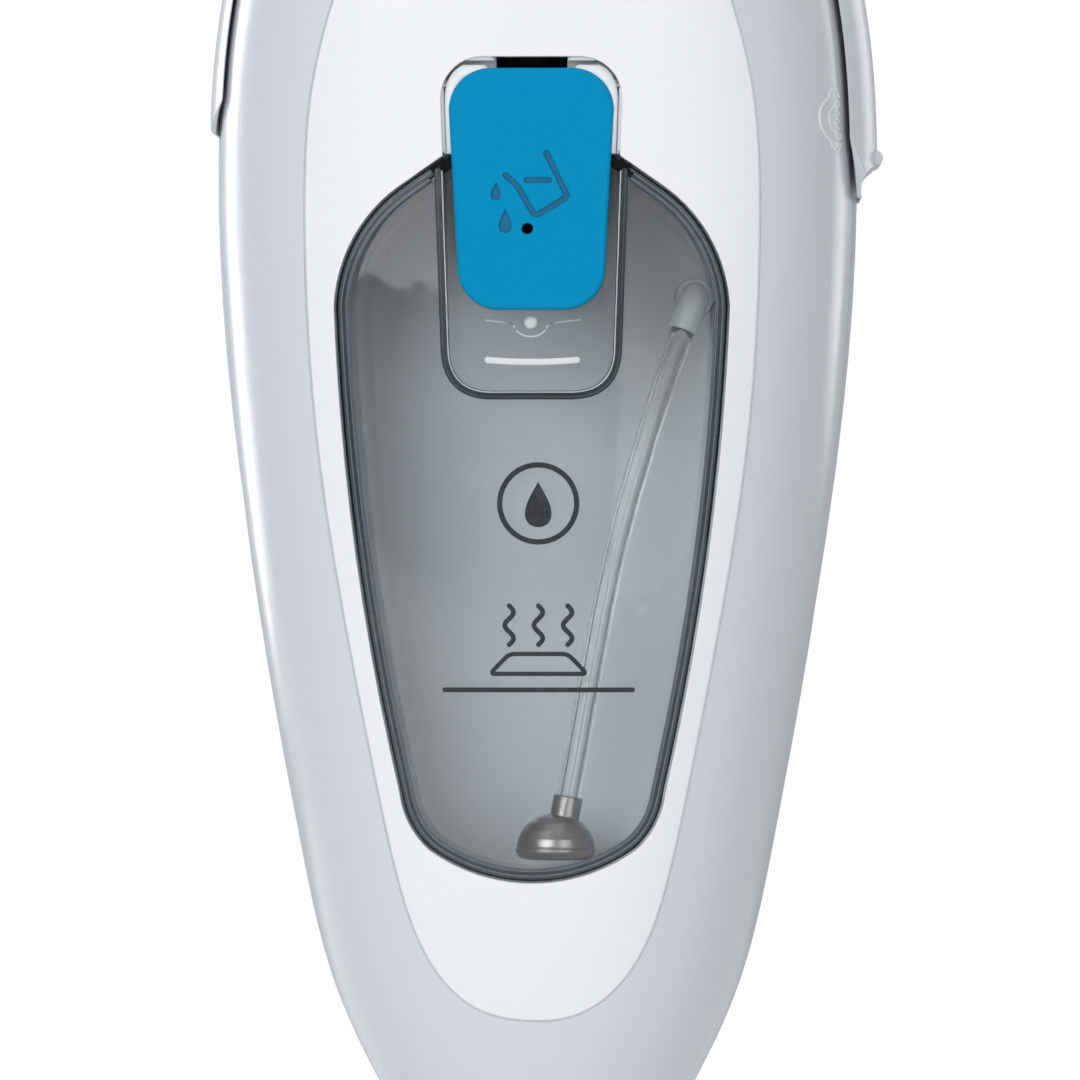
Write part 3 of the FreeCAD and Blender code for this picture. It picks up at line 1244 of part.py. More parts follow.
def make_handle():
    """Handle tube, spigot, loop handle in two halves, soft grip and cord hooks."""
    outer, inner = "Sizes.tube_round", "Sizes.tube_round - Sizes.tube_wall"
    sub_part(ring("tube_ring", outer, inner, "Sizes.tube_foot", "Sizes.tube_head"), "handle_tube")
    sub_part(
        turned(
            "spigot_turned",
            [
                ("Sizes.tube_round + 0.02", "Sizes.tube_foot"),
                ("Sizes.tube_round + 0.02", "Sizes.collar_rim + 22"),
                ("14.6", "Sizes.collar_rim + 22"),
                ("20", "Sizes.collar_rim + 6"),
                ("20", "Sizes.collar_rim + 0.4"),
                ("Sizes.spigot_round", "Sizes.collar_rim + 0.4"),
                ("Sizes.spigot_round", "Sizes.spigot_foot + 3"),
                ("Sizes.spigot_round - 2", "Sizes.spigot_foot"),
                ("9", "Sizes.spigot_foot"),
                ("9", "Sizes.tube_foot"),
            ],
        ),
        "tube_spigot",
    )

    wall = size("loop_wall")
    wide, deep = size("loop_wide"), size("loop_deep")
    head, bore_round = size("tube_head"), size("tube_round") + 0.02
    sleeve_foot, sleeve_long = 1040.0, 62.0
    loop = oval_sweep(LOOP_PATH, wide, deep, True, 24.0)
    hollow = oval_sweep(LOOP_PATH, wide - wall, deep - wall, True, 24.0)
    socket = Part.makeCone(15.4, 17.2, sleeve_long, Vector(0, 0, sleeve_foot))
    core = Part.makeCylinder(17.2, sleeve_long + 8, Vector(0, 0, sleeve_foot))
    bore = Part.makeCylinder(bore_round, head - sleeve_foot, Vector(0, 0, sleeve_foot))
    shell = loop.fuse(socket).removeSplitter().cut(hollow.cut(core)).cut(bore)
    halves = {"handle_shell_left": -FAR, "handle_shell_right": 0.15}
    for label, low in halves.items():
        zone = Part.makeBox(FAR, FAR, 400, Vector(low, -FAR / 2, 1000))
        sub_part(feature(label + "_solid", shell.common(zone)), label)
    grip = sleeve(LOOP_PATH[2], LOOP_PATH[3], 0.22, 0.8, wide, deep, 1.5)
    sub_part(feature("grip_solid", grip), "handle_grip")

    make_hooks()


def make_hooks():
    """Fixed cord hook high on the tube and swivel hook low on it."""
    for name, z in (("upper", "Sizes.upper_hook_z"), ("lower", "Sizes.lower_hook_z")):
        clamp = rod(f"{name}_clamp", "17", "26", ("0", "0", f"{z} - 13"))
        boss = rod(f"{name}_boss", "8", "9", ("0", "11", z), ALONG_Y)
        bore = rod(f"{name}_clamp_bore", "Sizes.tube_round + 0.02", "60", ("0", "0", f"{z} - 30"))
        members = [clamp, boss]
        if name == "upper":
            far = "Sizes.hook_reach"
            members.append(box("upper_arm", ("-6", "12", f"{z} - 5"), ("6", far, f"{z} + 5")))
            members.append(box("upper_blade", ("-6", f"{far} - 6", f"{z} - 5"), ("6", far, f"{z} + 32")))
        joined = boolean("MultiFuse", f"{name}_hook_joined", *members)
        if name == "upper":
            sub_part(boolean("Cut", "upper_hook_cut", joined, bore), "upper_cord_hook")
        else:
            pivot = rod("hook_pivot_hole", "2.05", "40", ("0", "12", z), ALONG_Y)
            sub_part(boolean("Cut", "lower_clamp_cut", joined, bore, pivot), "hook_clamp")
    z = "Sizes.lower_hook_z"
    hub = rod("swivel_hub", "8", "8", ("0", "20.2", z), ALONG_Y)
    far = "Sizes.hook_reach"
    arm = box("swivel_arm", ("-6", "20.2", f"{z} - 6"), ("6", far, f"{z} + 6"))
    blade = box("swivel_blade", ("-6", f"{far} - 6", f"{z} - 32"), ("6", far, f"{z} + 6"))
    spindle = rod("swivel_spindle", "2", "8", ("0", "13", z), ALONG_Y)
    sub_part(boolean("MultiFuse", "swivel_joined", hub, arm, blade, spindle), "swivel_cord_hook")


# ---------------------------------------------------------------- build and write


def check_document():
    """Stops on any object that failed, and on any sub-part with a null or invalid shape."""
    for obj in doc.Objects:
        if "Invalid" in obj.State or "Error" in obj.State:
            raise RuntimeError(f"{obj.Label} failed: {obj.State}")
    for obj in PARTS:
        if obj.Shape.isNull() or not obj.Shape.isValid() or not obj.Shape.Solids:
            raise RuntimeError(f"{obj.Label} has no valid solid")


def main():
    make_head()
    make_knuckle()
    make_neck()
    outer = make_shells()
    make_side_slider()
    make_tank(outer)
    make_intake()
    make_cap()
    make_nozzle()
    make_works()
    make_carry_handle()
    make_collar()
    make_handle()
    doc.recompute()
    check_document()
    os.makedirs("parts", exist_ok=True)
    for obj in PARTS:
        obj.Shape.exportStep(f"parts/{obj.Label}.step")
    print(f"{len(PARTS)} sub-parts written")


main()
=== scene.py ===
import math

import bmesh
import bpy
import numpy as np
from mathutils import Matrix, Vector, noise
from mathutils.bvhtree import BVHTree
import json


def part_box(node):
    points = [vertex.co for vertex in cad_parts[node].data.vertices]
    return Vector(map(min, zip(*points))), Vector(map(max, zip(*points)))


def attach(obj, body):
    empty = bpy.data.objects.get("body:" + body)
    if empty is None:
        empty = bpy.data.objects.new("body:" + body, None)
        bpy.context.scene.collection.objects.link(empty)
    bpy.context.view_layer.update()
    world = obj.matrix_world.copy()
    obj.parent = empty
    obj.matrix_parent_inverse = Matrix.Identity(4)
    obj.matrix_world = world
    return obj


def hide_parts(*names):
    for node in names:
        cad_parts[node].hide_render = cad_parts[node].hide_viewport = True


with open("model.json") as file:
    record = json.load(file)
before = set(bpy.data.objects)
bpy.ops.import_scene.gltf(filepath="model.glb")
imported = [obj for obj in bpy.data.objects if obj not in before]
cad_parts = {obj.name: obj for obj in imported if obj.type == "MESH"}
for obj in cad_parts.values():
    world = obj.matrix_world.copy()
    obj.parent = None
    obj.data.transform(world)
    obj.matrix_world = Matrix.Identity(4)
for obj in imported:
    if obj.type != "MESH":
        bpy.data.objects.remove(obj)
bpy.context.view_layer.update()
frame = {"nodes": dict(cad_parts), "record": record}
nodes = frame["nodes"]
scene = bpy.context.scene
MM = 0.001


# ------------------------------------------------------------------ camera
def make_camera():
    """The view from straight ahead, level with the water tank."""
    distance, height = 1.6, 0.520
    lens = bpy.data.cameras.new("camera")
    lens.lens = 251.0
    lens.sensor_width = 36.0
    lens.clip_end = 60.0
    camera = bpy.data.objects.new("camera", lens)
    turn = math.radians(1.2)
    camera.location = (0.0006 + distance * math.sin(turn), -distance * math.cos(turn), height)
    camera.rotation_euler = (math.radians(90.0), 0.0, turn)
    scene.collection.objects.link(camera)
    scene.camera = camera


# ------------------------------------------------------------- mesh helpers
def mesh_object(name, verts, faces, smooth=True):
    """A mesh object with outward normals."""
    mesh = bpy.data.meshes.new(name)
    mesh.from_pydata([tuple(v) for v in verts], [], faces)
    mesh.validate()
    tidy = bmesh.new()
    tidy.from_mesh(mesh)
    bmesh.ops.recalc_face_normals(tidy, faces=tidy.faces)
    tidy.to_mesh(mesh)
    tidy.free()
    for face in mesh.polygons:
        face.use_smooth = smooth
    piece = bpy.data.objects.new(name, mesh)
    scene.collection.objects.link(piece)
    return piece


def apply_modifiers(piece):
    """Keeps the shape that the modifiers give."""
    graph = bpy.context.evaluated_depsgraph_get()
    mesh = bpy.data.meshes.new_from_object(piece.evaluated_get(graph))
    piece.modifiers.clear()
    piece.data = mesh
    return piece


def surface_of(node):
    """Ray-cast tree of a CAD node."""
    mesh = nodes[node].data
    return BVHTree.FromPolygons(
        [v.co for v in mesh.vertices], [p.vertices for p in mesh.polygons]
    )


def on_front(node):
    """Gives the function that lays a flat point (x, z) on a CAD node's front."""
    tree = surface_of(node)

    def lay(u, v):
        return front_of(tree, u, v)

    return lay


def front_of(tree, x, z, toward=Vector((0, 1, 0)), start=-0.3):
    """Point and outward normal where a line from the front meets a surface."""
    hit, normal, _, _ = tree.ray_cast(Vector((x, start, z)), toward)
    if hit is None:
        return None, None
    return hit, normal


def side_of(tree, y, z):
    """Point and outward normal where a line from the right meets a surface."""
    hit, normal, _, _ = tree.ray_cast(Vector((0.3, y, z)), Vector((-1, 0, 0)))
    return hit, normal


def ribbon(points, width, closed=False, cap_steps=5):
    """Outline strip of a line on the flat: rows of (left, right) points."""
    pts = [Vector(p) for p in points]
    count = len(pts)
    rows = []
    for i, p in enumerate(pts):
        before = pts[(i - 1) % count] if closed or i > 0 else p
        after = pts[(i + 1) % count] if closed or i < count - 1 else p
        a = (p - before).normalized() if (p - before).length > 1e-9 else None
        b = (after - p).normalized() if (after - p).length > 1e-9 else None
        d = ((a or b) + (b or a)).normalized()
        side = Vector((-d.y, d.x))
        stretch = 1.0
        if a is not None and b is not None:
            stretch = 1.0 / max(0.5, math.sqrt(max(0.0, (1 + a.dot(b)) / 2)))
        half = width / 2 * stretch
        rows.append((p + side * half, p - side * half, p, d))
    if closed:
        rows.append(rows[0])
        return [(r[0], r[1]) for r in rows]
    out = []
    first, last = rows[0], rows[-1]
    for k in range(cap_steps):
        t = (k + 0.5) / cap_steps * math.pi / 2
        centre = first[2] - first[3] * (width / 2 * math.cos(t))
        side = Vector((-first[3].y, first[3].x)) * (width / 2 * math.sin(t))
        out.append((centre + side, centre - side))
    out += [(r[0], r[1]) for r in rows]
    for k in reversed(range(cap_steps)):
        t = (k + 0.5) / cap_steps * math.pi / 2
        centre = last[2] + last[3] * (width / 2 * math.cos(t))
        side = Vector((-last[3].y, last[3].x)) * (width / 2 * math.sin(t))
        out.append((centre + side, centre - side))
    return out


def resample(points, step, closed=False):
    """Points along a line, a step apart at most."""
    pts = [Vector(p) for p in points]
    if closed:
        pts.append(pts[0])
    out = []
    for a, b in zip(pts, pts[1:]):
        n = max(1, math.ceil((b - a).length / step))
        out += [a.lerp(b, k / n) for k in range(n)]
    if not closed:
        out.append(pts[-1])
    return out


def arc(cx, cy, radius, start, end, steps=24):
    """Points of an arc on the flat, angles in degrees."""
    return [
        (
            cx + radius * math.cos(math.radians(start + (end - start) * k / steps)),
            cy + radius * math.sin(math.radians(start + (end - start) * k / steps)),
        )
        for k in range(steps + 1)
    ]


def round_corners(points, radius, closed=True, steps=8):
    """A polygon with its corners rounded."""
    pts = [Vector(p) for p in points]
    count = len(pts)
    out = []
    for i, p in enumerate(pts):
        if not closed and i in (0, count - 1):
            out.append(p)
            continue
        a = (pts[(i - 1) % count] - p)
        b = (pts[(i + 1) % count] - p)
        reach = min(radius, a.length * 0.45, b.length * 0.45)
        a = p + a.normalized() * reach
        b = p + b.normalized() * reach
        for k in range(steps + 1):
            t = k / steps
            out.append(a * (1 - t) ** 2 + p * (2 * t * (1 - t)) + b * t**2)
    return out


def strip_solid(name, strips, lay, low, high, discs=()):
    """Closed raised or cut strips that follow a surface.

    lay(u, v) gives the surface's point and outward normal. low and high are the
    heights of the back and the front of the strip over the surface.
    """
    verts, faces = [], []

    def put(point, height):
        spot, normal = lay(point[0], point[1])
        if spot is None:
            raise ValueError(f"{name}: nothing under {tuple(point)}")
        verts.append(spot + normal * height)
        return len(verts) - 1

    for rows, closed in strips:
        start = len(verts)
        count = len(rows) - (1 if closed else 0)
        for left, right in rows[:count]:
            put(left, low)
            put(left, high)
            put(right, high)
            put(right, low)
        for i in range(count if closed else count - 1):
            a = start + 4 * i
            b = start + 4 * ((i + 1) % count)
            for k in range(4):
                m = (k + 1) % 4
                faces.append((a + k, a + m, b + m, b + k))
        if not closed:
            faces.append((start, start + 1, start + 2, start + 3))
            end = start + 4 * (count - 1)
            faces.append((end + 3, end + 2, end + 1, end))
    for outline, centre in discs:
        rings = 4
        outline = [Vector(p) for p in outline]
        centre = Vector(centre)
        start = len(verts)
        n = len(outline)
        for height in (high, low):
            put(centre, height)
            for r in range(1, rings + 1):
                for p in outline:
                    put(centre.lerp(p, r / rings), height)
        block = 1 + rings * n
        for s in range(2):
            o = start + s * block
            for k in range(n):
                faces.append((o, o + 1 + k, o + 1 + (k + 1) % n))
            for r in range(rings - 1):
                for k in range(n):
                    a = o + 1 + r * n
                    faces.append((a + k, a + n + k, a + n + (k + 1) % n, a + (k + 1) % n))
        a = start + 1 + (rings - 1) * n
        b = a + block
        for k in range(n):
            faces.append((a + k, b + k, b + (k + 1) % n, a + (k + 1) % n))
    return mesh_object(name, verts, faces, smooth=False)


# ---------------------------------------------------------------- materials
class Paint:
    """A small builder of node materials, in the object's own metres."""

    def __init__(self, name, colour, rough, **sockets):
        self.mat = bpy.data.materials.new(name)
        self.mat.use_nodes = True
        self.tree = self.mat.node_tree
        self.nodes = self.tree.nodes
        self.shader = self.nodes["Principled BSDF"]
        self.shader.inputs["Base Color"].default_value = (*colour, 1.0)
        self.shader.inputs["Roughness"].default_value = rough
        for key, value in sockets.items():
            self.shader.inputs[key.replace("_", " ")].default_value = value
        self.colour = colour
        self.rough = rough
        self.where = self.nodes.new("ShaderNodeTexCoord").outputs["Object"]
        self.height = None

    def link(self, a, b):
        self.tree.links.new(a, b)

    def noise(self, scale, detail=3.0, stretch=None, rough=0.5):
        node = self.nodes.new("ShaderNodeTexNoise")
        node.inputs["Scale"].default_value = scale
        node.inputs["Detail"].default_value = detail
        node.inputs["Roughness"].default_value = rough
        self.link(self.place(stretch), node.inputs["Vector"])
        return node.outputs["Fac"]

    def place(self, stretch):
        if stretch is None:
            return self.where
        node = self.nodes.new("ShaderNodeMapping")
        node.inputs["Scale"].default_value = stretch
        self.link(self.where, node.inputs["Vector"])
        return node.outputs["Vector"]

    def cells(self, scale, stretch=None, feature="F1", random=1.0):
        node = self.nodes.new("ShaderNodeTexVoronoi")
        node.feature = feature
        node.inputs["Scale"].default_value = scale
        node.inputs["Randomness"].default_value = random
        self.link(self.place(stretch), node.inputs["Vector"])
        return node.outputs["Distance"]

    def ramp(self, value, low, high, to_low=0.0, to_high=1.0):
        node = self.nodes.new("ShaderNodeMapRange")
        node.inputs["From Min"].default_value = low
        node.inputs["From Max"].default_value = high
        node.inputs["To Min"].default_value = to_low
        node.inputs["To Max"].default_value = to_high
        self.link(value, node.inputs["Value"])
        return node.outputs["Result"]

    def tint(self, value, other, amount=1.0):
        """Shifts the colour towards another where value is high."""
        node = self.nodes.new("ShaderNodeMix")
        node.data_type = "RGBA"
        node.inputs["A"].default_value = (*self.colour, 1.0)
        node.inputs["B"].default_value = (*other, 1.0)
        old = self.shader.inputs["Base Color"].links
        if old:
            self.link(old[0].from_socket, node.inputs["A"])
        if amount != 1.0:
            value = self.ramp(value, 0.0, 1.0, 0.0, amount)
        self.link(value, node.inputs["Factor"])
        self.link(node.outputs["Result"], self.shader.inputs["Base Color"])
        return self

    def polish(self, value, low, high):
        """Roughness from low to high as value goes from 0.3 to 0.7."""
        self.link(self.ramp(value, 0.3, 0.7, low, high), self.shader.inputs["Roughness"])
        return self

    def bump(self, value, depth, strength=1.0):
        """Adds relief of that depth in metres."""
        node = self.nodes.new("ShaderNodeBump")
        node.inputs["Strength"].default_value = strength
        node.inputs["Distance"].default_value = depth
        self.link(value, node.inputs["Height"])
        if self.height is not None:
            self.link(self.height, node.inputs["Normal"])
        self.height = node.outputs["Normal"]
        self.link(self.height, self.shader.inputs["Normal"])
        return self

    def edge(self, radius=0.0004):
        """Catches light along moulded edges, as a small radius does."""
        node = self.nodes.new("ShaderNodeBevel")
        node.samples = 4
        node.inputs["Radius"].default_value = radius
        self.height = node.outputs["Normal"]
        self.link(self.height, self.shader.inputs["Normal"])
        return self


def moulded(name, colour, rough, grain=0.00002, grain_scale=1400.0, shift=0.94, **sockets):
    """Moulded plastic: faint flow variation, uneven gloss and a fine grain."""
    paint = Paint(name, colour, rough, **sockets).edge()
    flow = paint.noise(9.0, 1.0)
    paint.tint(paint.ramp(flow, 0.2, 0.8), tuple(c * shift for c in colour))
    paint.polish(paint.noise(40.0, 1.5), rough * 0.92, min(1.0, rough * 1.12))
    paint.bump(paint.noise(grain_scale, 2.0), grain)
    return paint


def metal(name, colour, rough, brush=(1.0, 1.0, 60.0), **sockets):
    """Metal with fine drawn lines across the given direction."""
    paint = Paint(name, colour, rough, Metallic=1.0, **sockets).edge(0.0003)
    lines = paint.noise(80.0, 4.0, stretch=brush)
    paint.polish(lines, rough * 0.75, rough * 1.35)
    paint.tint(paint.ramp(paint.noise(25.0, 3.0), 0.4, 0.75), tuple(c * 0.88 for c in colour))
    paint.bump(lines, 0.000012)
    return paint


def make_materials():
    """One finish for each of the record's material slots."""
    made = {}
    made["white_panel"] = moulded("white_panel", (0.85, 0.86, 0.875), 0.30, shift=0.98)
    # Painted shade: the tank's cradle, seen through the clear tank, is set grey to paint the shade
    # inside the tank.
    made["cradle_shade_grey"] = moulded("cradle_shade_grey", (0.57, 0.585, 0.60), 0.4, shift=0.97)
    made["peg_white"] = moulded("peg_white", (0.93, 0.94, 0.95), 0.3)
    made["white_shell"] = moulded("white_shell", (0.67, 0.69, 0.725), 0.24, shift=0.975)
    made["pale_grey"] = moulded("pale_grey", (0.60, 0.63, 0.67), 0.36)
    made["grey_plastic"] = moulded(
        "grey_plastic", (0.36, 0.385, 0.41), 0.5, grain=0.00005, grain_scale=1100.0
    )
    made["black_plastic"] = moulded("black_plastic", (0.02, 0.021, 0.024), 0.46, grain=0.00005)
    made["nozzle_plastic"] = moulded("nozzle_plastic", (0.03, 0.031, 0.034), 0.52, grain=0.00004)
    made["blue_gloss"] = moulded(
        "blue_gloss", (0.0008, 0.262, 0.498), 0.5, grain=0.00003, grain_scale=2200.0, shift=0.97
    )
    made["blue_gloss"].shader.inputs["Specular IOR Level"].default_value = 0.08
    # Darker blue for the faces cut by the cap's engraving: painted shade in the grooves.
    made["blue_groove_shade"] = moulded("blue_groove_shade", (0.0012, 0.15, 0.30), 0.45, grain=0.00003)
    made["blue_trim"] = moulded("blue_trim", (0.0025, 0.245, 0.47), 0.28, shift=0.9)
    made["board_green"] = moulded("board_green", (0.01, 0.10, 0.045), 0.35)
    grip = moulded("soft_grip", (0.10, 0.108, 0.12), 0.62, grain=0.00002)
    grip.bump(grip.ramp(grip.cells(330.0, random=0.0), 0.18, 0.4, 1.0, 0.0), 0.00025)
    made["soft_grip"] = grip
    made["black_rubber"] = moulded("black_rubber", (0.018, 0.018, 0.019), 0.7, grain=0.00006)
    made["steel"] = metal("steel", (0.56, 0.56, 0.57), 0.28)
    made["weight_metal"] = metal("weight_metal", (0.36, 0.345, 0.335), 0.3, brush=(3.0, 3.0, 3.0))
    made["tube_metal"] = metal("tube_metal", (0.68, 0.69, 0.71), 0.34, brush=(40.0, 40.0, 1.0))
    cast = metal("cast_aluminium", (0.50, 0.51, 0.52), 0.5, brush=(1.0, 1.0, 1.0))
    cast.bump(cast.noise(700.0, 4.0), 0.00012)
    made["cast_aluminium"] = cast
    made["clear_tank"] = clear("clear_tank", (0.935, 0.950, 0.958), 0.03, 1.46)
    made["clear_silicone"] = clear("clear_silicone", (0.935, 0.945, 0.95), 0.08, 1.41)
    made["lamp_lens"] = clear("lamp_lens", (0.85, 0.16, 0.08), 0.08, 1.46)
    milky = clear("milky_silicone", (0.80, 0.84, 0.86), 0.22, 1.41)
    milky.shader.inputs["Transmission Weight"].default_value = 0.55
    made["milky_silicone"] = milky
    tape = Paint("hook_tape", (0.055, 0.058, 0.064), 0.9)
    # Darker between the hooks, where the bump is low: painted shade.
    tape.tint(tape.ramp(tape.cells(700.0), 0.1, 0.5), (0.015, 0.016, 0.018))
    tape.bump(tape.ramp(tape.cells(700.0), 0.1, 0.5, 1.0, 0.0), 0.0006)
    made["hook_tape"] = tape
    fabric = Paint("pad_fabric", (0.74, 0.76, 0.79), 0.95, Sheen_Weight=0.35, Sheen_Roughness=0.4)
    loops = fabric.cells(520.0)
    # Darker between the loops, where the bump is low: painted shade in the pile.
    fabric.tint(fabric.ramp(loops, 0.15, 0.6), (0.50, 0.53, 0.57))
    fabric.bump(fabric.ramp(loops, 0.0, 0.6, 1.0, 0.0), 0.0009)
    made["pad_fabric"] = fabric
    return made


def clear(name, colour, rough, ior, **sockets):
    """Clear moulded plastic that lets the lamps' light through."""
    paint = Paint(name, colour, rough, Transmission_Weight=1.0, IOR=ior, **sockets)
    paint.tint(paint.ramp(paint.noise(12.0, 1.0), 0.2, 0.8), tuple(c * 0.985 for c in colour))
    through = paint.nodes.new("ShaderNodeBsdfTransparent")
    through.inputs["Color"].default_value = (*colour, 1.0)
    mix = paint.nodes.new("ShaderNodeMixShader")
    path = paint.nodes.new("ShaderNodeLightPath")
    paint.link(path.outputs["Is Shadow Ray"], mix.inputs["Fac"])
    paint.link(paint.shader.outputs["BSDF"], mix.inputs[1])
    paint.link(through.outputs["BSDF"], mix.inputs[2])
    paint.link(mix.outputs["Shader"], paint.nodes["Material Output"].inputs["Surface"])
    return paint


# -------------------------------------------------------------- intake hose
ROUTE = [
    (0.03096, -0.0236, 0.56364),
    (0.02634, -0.0264, 0.55076),
    (0.0223, -0.0288, 0.5375),
    (0.0183, -0.0304, 0.5240),
    (0.0150, -0.0314, 0.5095),
    (0.0122, -0.0320, 0.4945),
    (0.0097, -0.0320, 0.4802),
    (0.0066, -0.0320, 0.4636),
]
HOSE_ROUND = 0.0050
HOSE_BORE = 0.0030


def make_hose():
    """Clear silicone hose that draws water from the weight to the elbow."""
    line = bpy.data.curves.new("intake_line", "CURVE")
    line.dimensions = "3D"
    line.resolution_u = 10
    spline = line.splines.new("NURBS")
    spline.points.add(len(ROUTE) - 1)
    for point, place in zip(spline.points, ROUTE):
        point.co = (*place, 1.0)
    spline.order_u = 3
    spline.use_endpoint_u = True
    holder = bpy.data.objects.new("intake_line", line)
    scene.collection.objects.link(holder)
    graph = bpy.context.evaluated_depsgraph_get()
    centre = bpy.data.meshes.new_from_object(holder.evaluated_get(graph))
    path = [Vector(v.co) for v in centre.vertices]
    bpy.data.objects.remove(holder)
    around = 24
    verts, faces = [], []
    normal = Vector((0, -1, 0))
    for i, p in enumerate(path):
        ahead = (path[min(i + 1, len(path) - 1)] - path[max(i - 1, 0)]).normalized()
        normal = (normal - ahead * normal.dot(ahead)).normalized()
        other = ahead.cross(normal)
        for radius in (HOSE_ROUND / 2, HOSE_BORE / 2):
            for k in range(around):
                a = 2 * math.pi * k / around
                verts.append(p + (normal * math.cos(a) + other * math.sin(a)) * radius)
    row = 2 * around
    last = len(path) - 1
    for i in range(last):
        for wall in range(2):
            for k in range(around):
                a = i * row + wall * around + k
                b = i * row + wall * around + (k + 1) % around
                faces.append((a, b, b + row, a + row))
    for end in (0, last):
        for k in range(around):
            a = end * row + k
            b = end * row + (k + 1) % around
            faces.append((a, b, b + around, a + around))
    hose = mesh_object("intake_tube", verts, faces)
    hose.data.materials.append(paints["clear_silicone"].mat)
    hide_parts("intake_hose")
    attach(hose, "steam_unit")


# ------------------------------------------------------------------- prints
def drop_outline(cx, cz, height, width, lean=0.0, steps=40):
    """Outline of a water drop, point up."""
    out = []
    for k in range(steps):
        t = 2 * math.pi * k / steps
        x = width / 2 * math.sin(t) * (math.sin(t / 2) ** 1.35)
        z = height / 2 * math.cos(t)
        out.append((cx + x + z * lean, cz + z))
    return out


def wavy(cx, low, high, swing, turns=1.5, steps=36):
    """An upright wavy line."""
    return [
        (
            cx + swing * math.sin(2 * math.pi * turns * k / steps),
            low + (high - low) * k / steps,
        )
        for k in range(steps + 1)
    ]


def make_print():
    """A plain printed device: a drop in a ring, over a mop head with steam."""
    lay = on_front("tank_front")
    ring_x, ring_z = 0.0014, 0.5275
    ring = resample(arc(ring_x, ring_z, 0.0079, 0, 360, 72)[:-1], 0.001, closed=True)
    strips = [(ribbon(ring, 0.0011, closed=True), True)]
    discs = [
        (drop_outline(ring_x, ring_z - 0.0002, 0.0094, 0.0076), (ring_x, ring_z - 0.0016)),
    ]
    low, high = 0.4985, 0.5065
    for x in (-0.0046, 0.0014, 0.0074):
        strips.append((ribbon(wavy(x, low, high, 0.0009), 0.0010), False))
    head = round_corners(
        [(-0.0086, 0.4925), (0.0114, 0.4925), (0.0074, 0.4966), (-0.0046, 0.4966)], 0.0012
    )
    strips.append((ribbon(resample(head, 0.0008, closed=True), 0.0009, closed=True), True))
    floor_line = resample([(-0.0179, 0.4892), (0.0207, 0.4892)], 0.001)
    strips.append((ribbon(floor_line, 0.0010), False))
    piece = strip_solid("tank_print", strips, lay, 0.00002, 0.00009, discs)
    ink = Paint("print_ink", (0.022, 0.025, 0.031), 0.42)
    ink.tint(ink.ramp(ink.noise(900.0, 3.0), 0.45, 0.8), (0.045, 0.05, 0.058))
    ink.bump(ink.noise(2500.0, 2.0), 0.00001)
    piece.data.materials.append(ink.mat)
    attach(piece, "steam_unit")


def crown_fit(node, tree):
    """A smooth surface through the crowned front of a CAD node: y and its slopes at x, z."""
    scale, mid = 50.0, 0.592

    def terms(x, z):
        return [1.0, x, z, x * x, x * z, z * z, z**3, x * x * z, x**4]

    rows, depths = [], []
    for v in nodes[node].data.vertices:
        hit, normal = front_of(tree, v.co.x * 0.995, mid + (v.co.z - mid) * 0.995)
        if hit is not None and normal.y < -0.985:
            rows.append(terms(hit.x * scale, (hit.z - mid) * scale))
            depths.append(hit.y)
    fit = np.linalg.lstsq(np.array(rows), np.array(depths), rcond=None)[0]

    def crown(p):
        x, z = p.x * scale, (p.z - mid) * scale
        slope_x = np.dot(fit, [0, 1, 0, 2 * x, z, 0, 0, 2 * x * z, 4 * x**3]) * scale
        slope_z = np.dot(fit, [0, 0, 1, 0, x, 2 * z, 3 * z * z, x * x, 0]) * scale
        return np.dot(fit, terms(x, z)), Vector((slope_x, -1.0, slope_z)).normalized()

    return crown


def shade_crown(piece, crown):
    """Shades a cut piece's front as the smooth surface that it was cut from."""
    mesh = piece.data
    normals = [corner.vector.copy() for corner in mesh.corner_normals]
    for face in mesh.polygons:
        for loop in face.loop_indices:
            co = mesh.vertices[mesh.loops[loop].vertex_index].co
            depth, normal = crown(co)
            if abs(co.y - depth) < 0.0001 and face.normal.dot(normal) > 0.97:
                normals[loop] = normal
    mesh.normals_split_custom_set(normals)


def make_cap_icon():
    """Filler cap with a pouring jug, its water line and two drops engraved; the cut faces take a
    darker blue, painted shade in the grooves.
    """
    tree = surface_of("filler_cap")

    def lay(u, v):
        return front_of(tree, u, v)

    jug = [
        (0.0031, 0.5993),
        (0.0075, 0.5903),
        (0.0008, 0.5863),
        (-0.0028, 0.5925),
        (-0.0052, 0.5947),
    ]
    strips = [
        (ribbon(resample(round_corners(jug, 0.0010, closed=False), 0.0006), 0.0012), False),
        (ribbon(resample([(-0.0010, 0.5937), (0.0037, 0.5937)], 0.0006), 0.0011), False),
    ]
    discs = [
        (drop_outline(-0.0072, 0.5914, 0.0036, 0.0028), (-0.0072, 0.5909)),
        (drop_outline(-0.0053, 0.5853, 0.0048, 0.0036), (-0.0053, 0.5846)),
    ]
    cutter = strip_solid("cap_cutter", strips, lay, -0.00045, 0.0006, discs)
    # The engraving's cut faces take this darker blue as painted shade.
    cutter.data.materials.append(paints["blue_groove_shade"].mat)
    source = nodes["filler_cap"]
    cap = bpy.data.objects.new("engraved_cap", source.data.copy())
    scene.collection.objects.link(cap)
    cut = cap.modifiers.new("icon", "BOOLEAN")
    cut.operation = "DIFFERENCE"
    cut.solver = "EXACT"
    cut.use_self = True
    cut.material_mode = "TRANSFER"
    cut.object = cutter
    apply_modifiers(cap)
    bpy.data.objects.remove(cutter)
    shade_crown(cap, crown_fit("filler_cap", tree))
    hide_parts("filler_cap")
    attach(cap, "filler_cap")


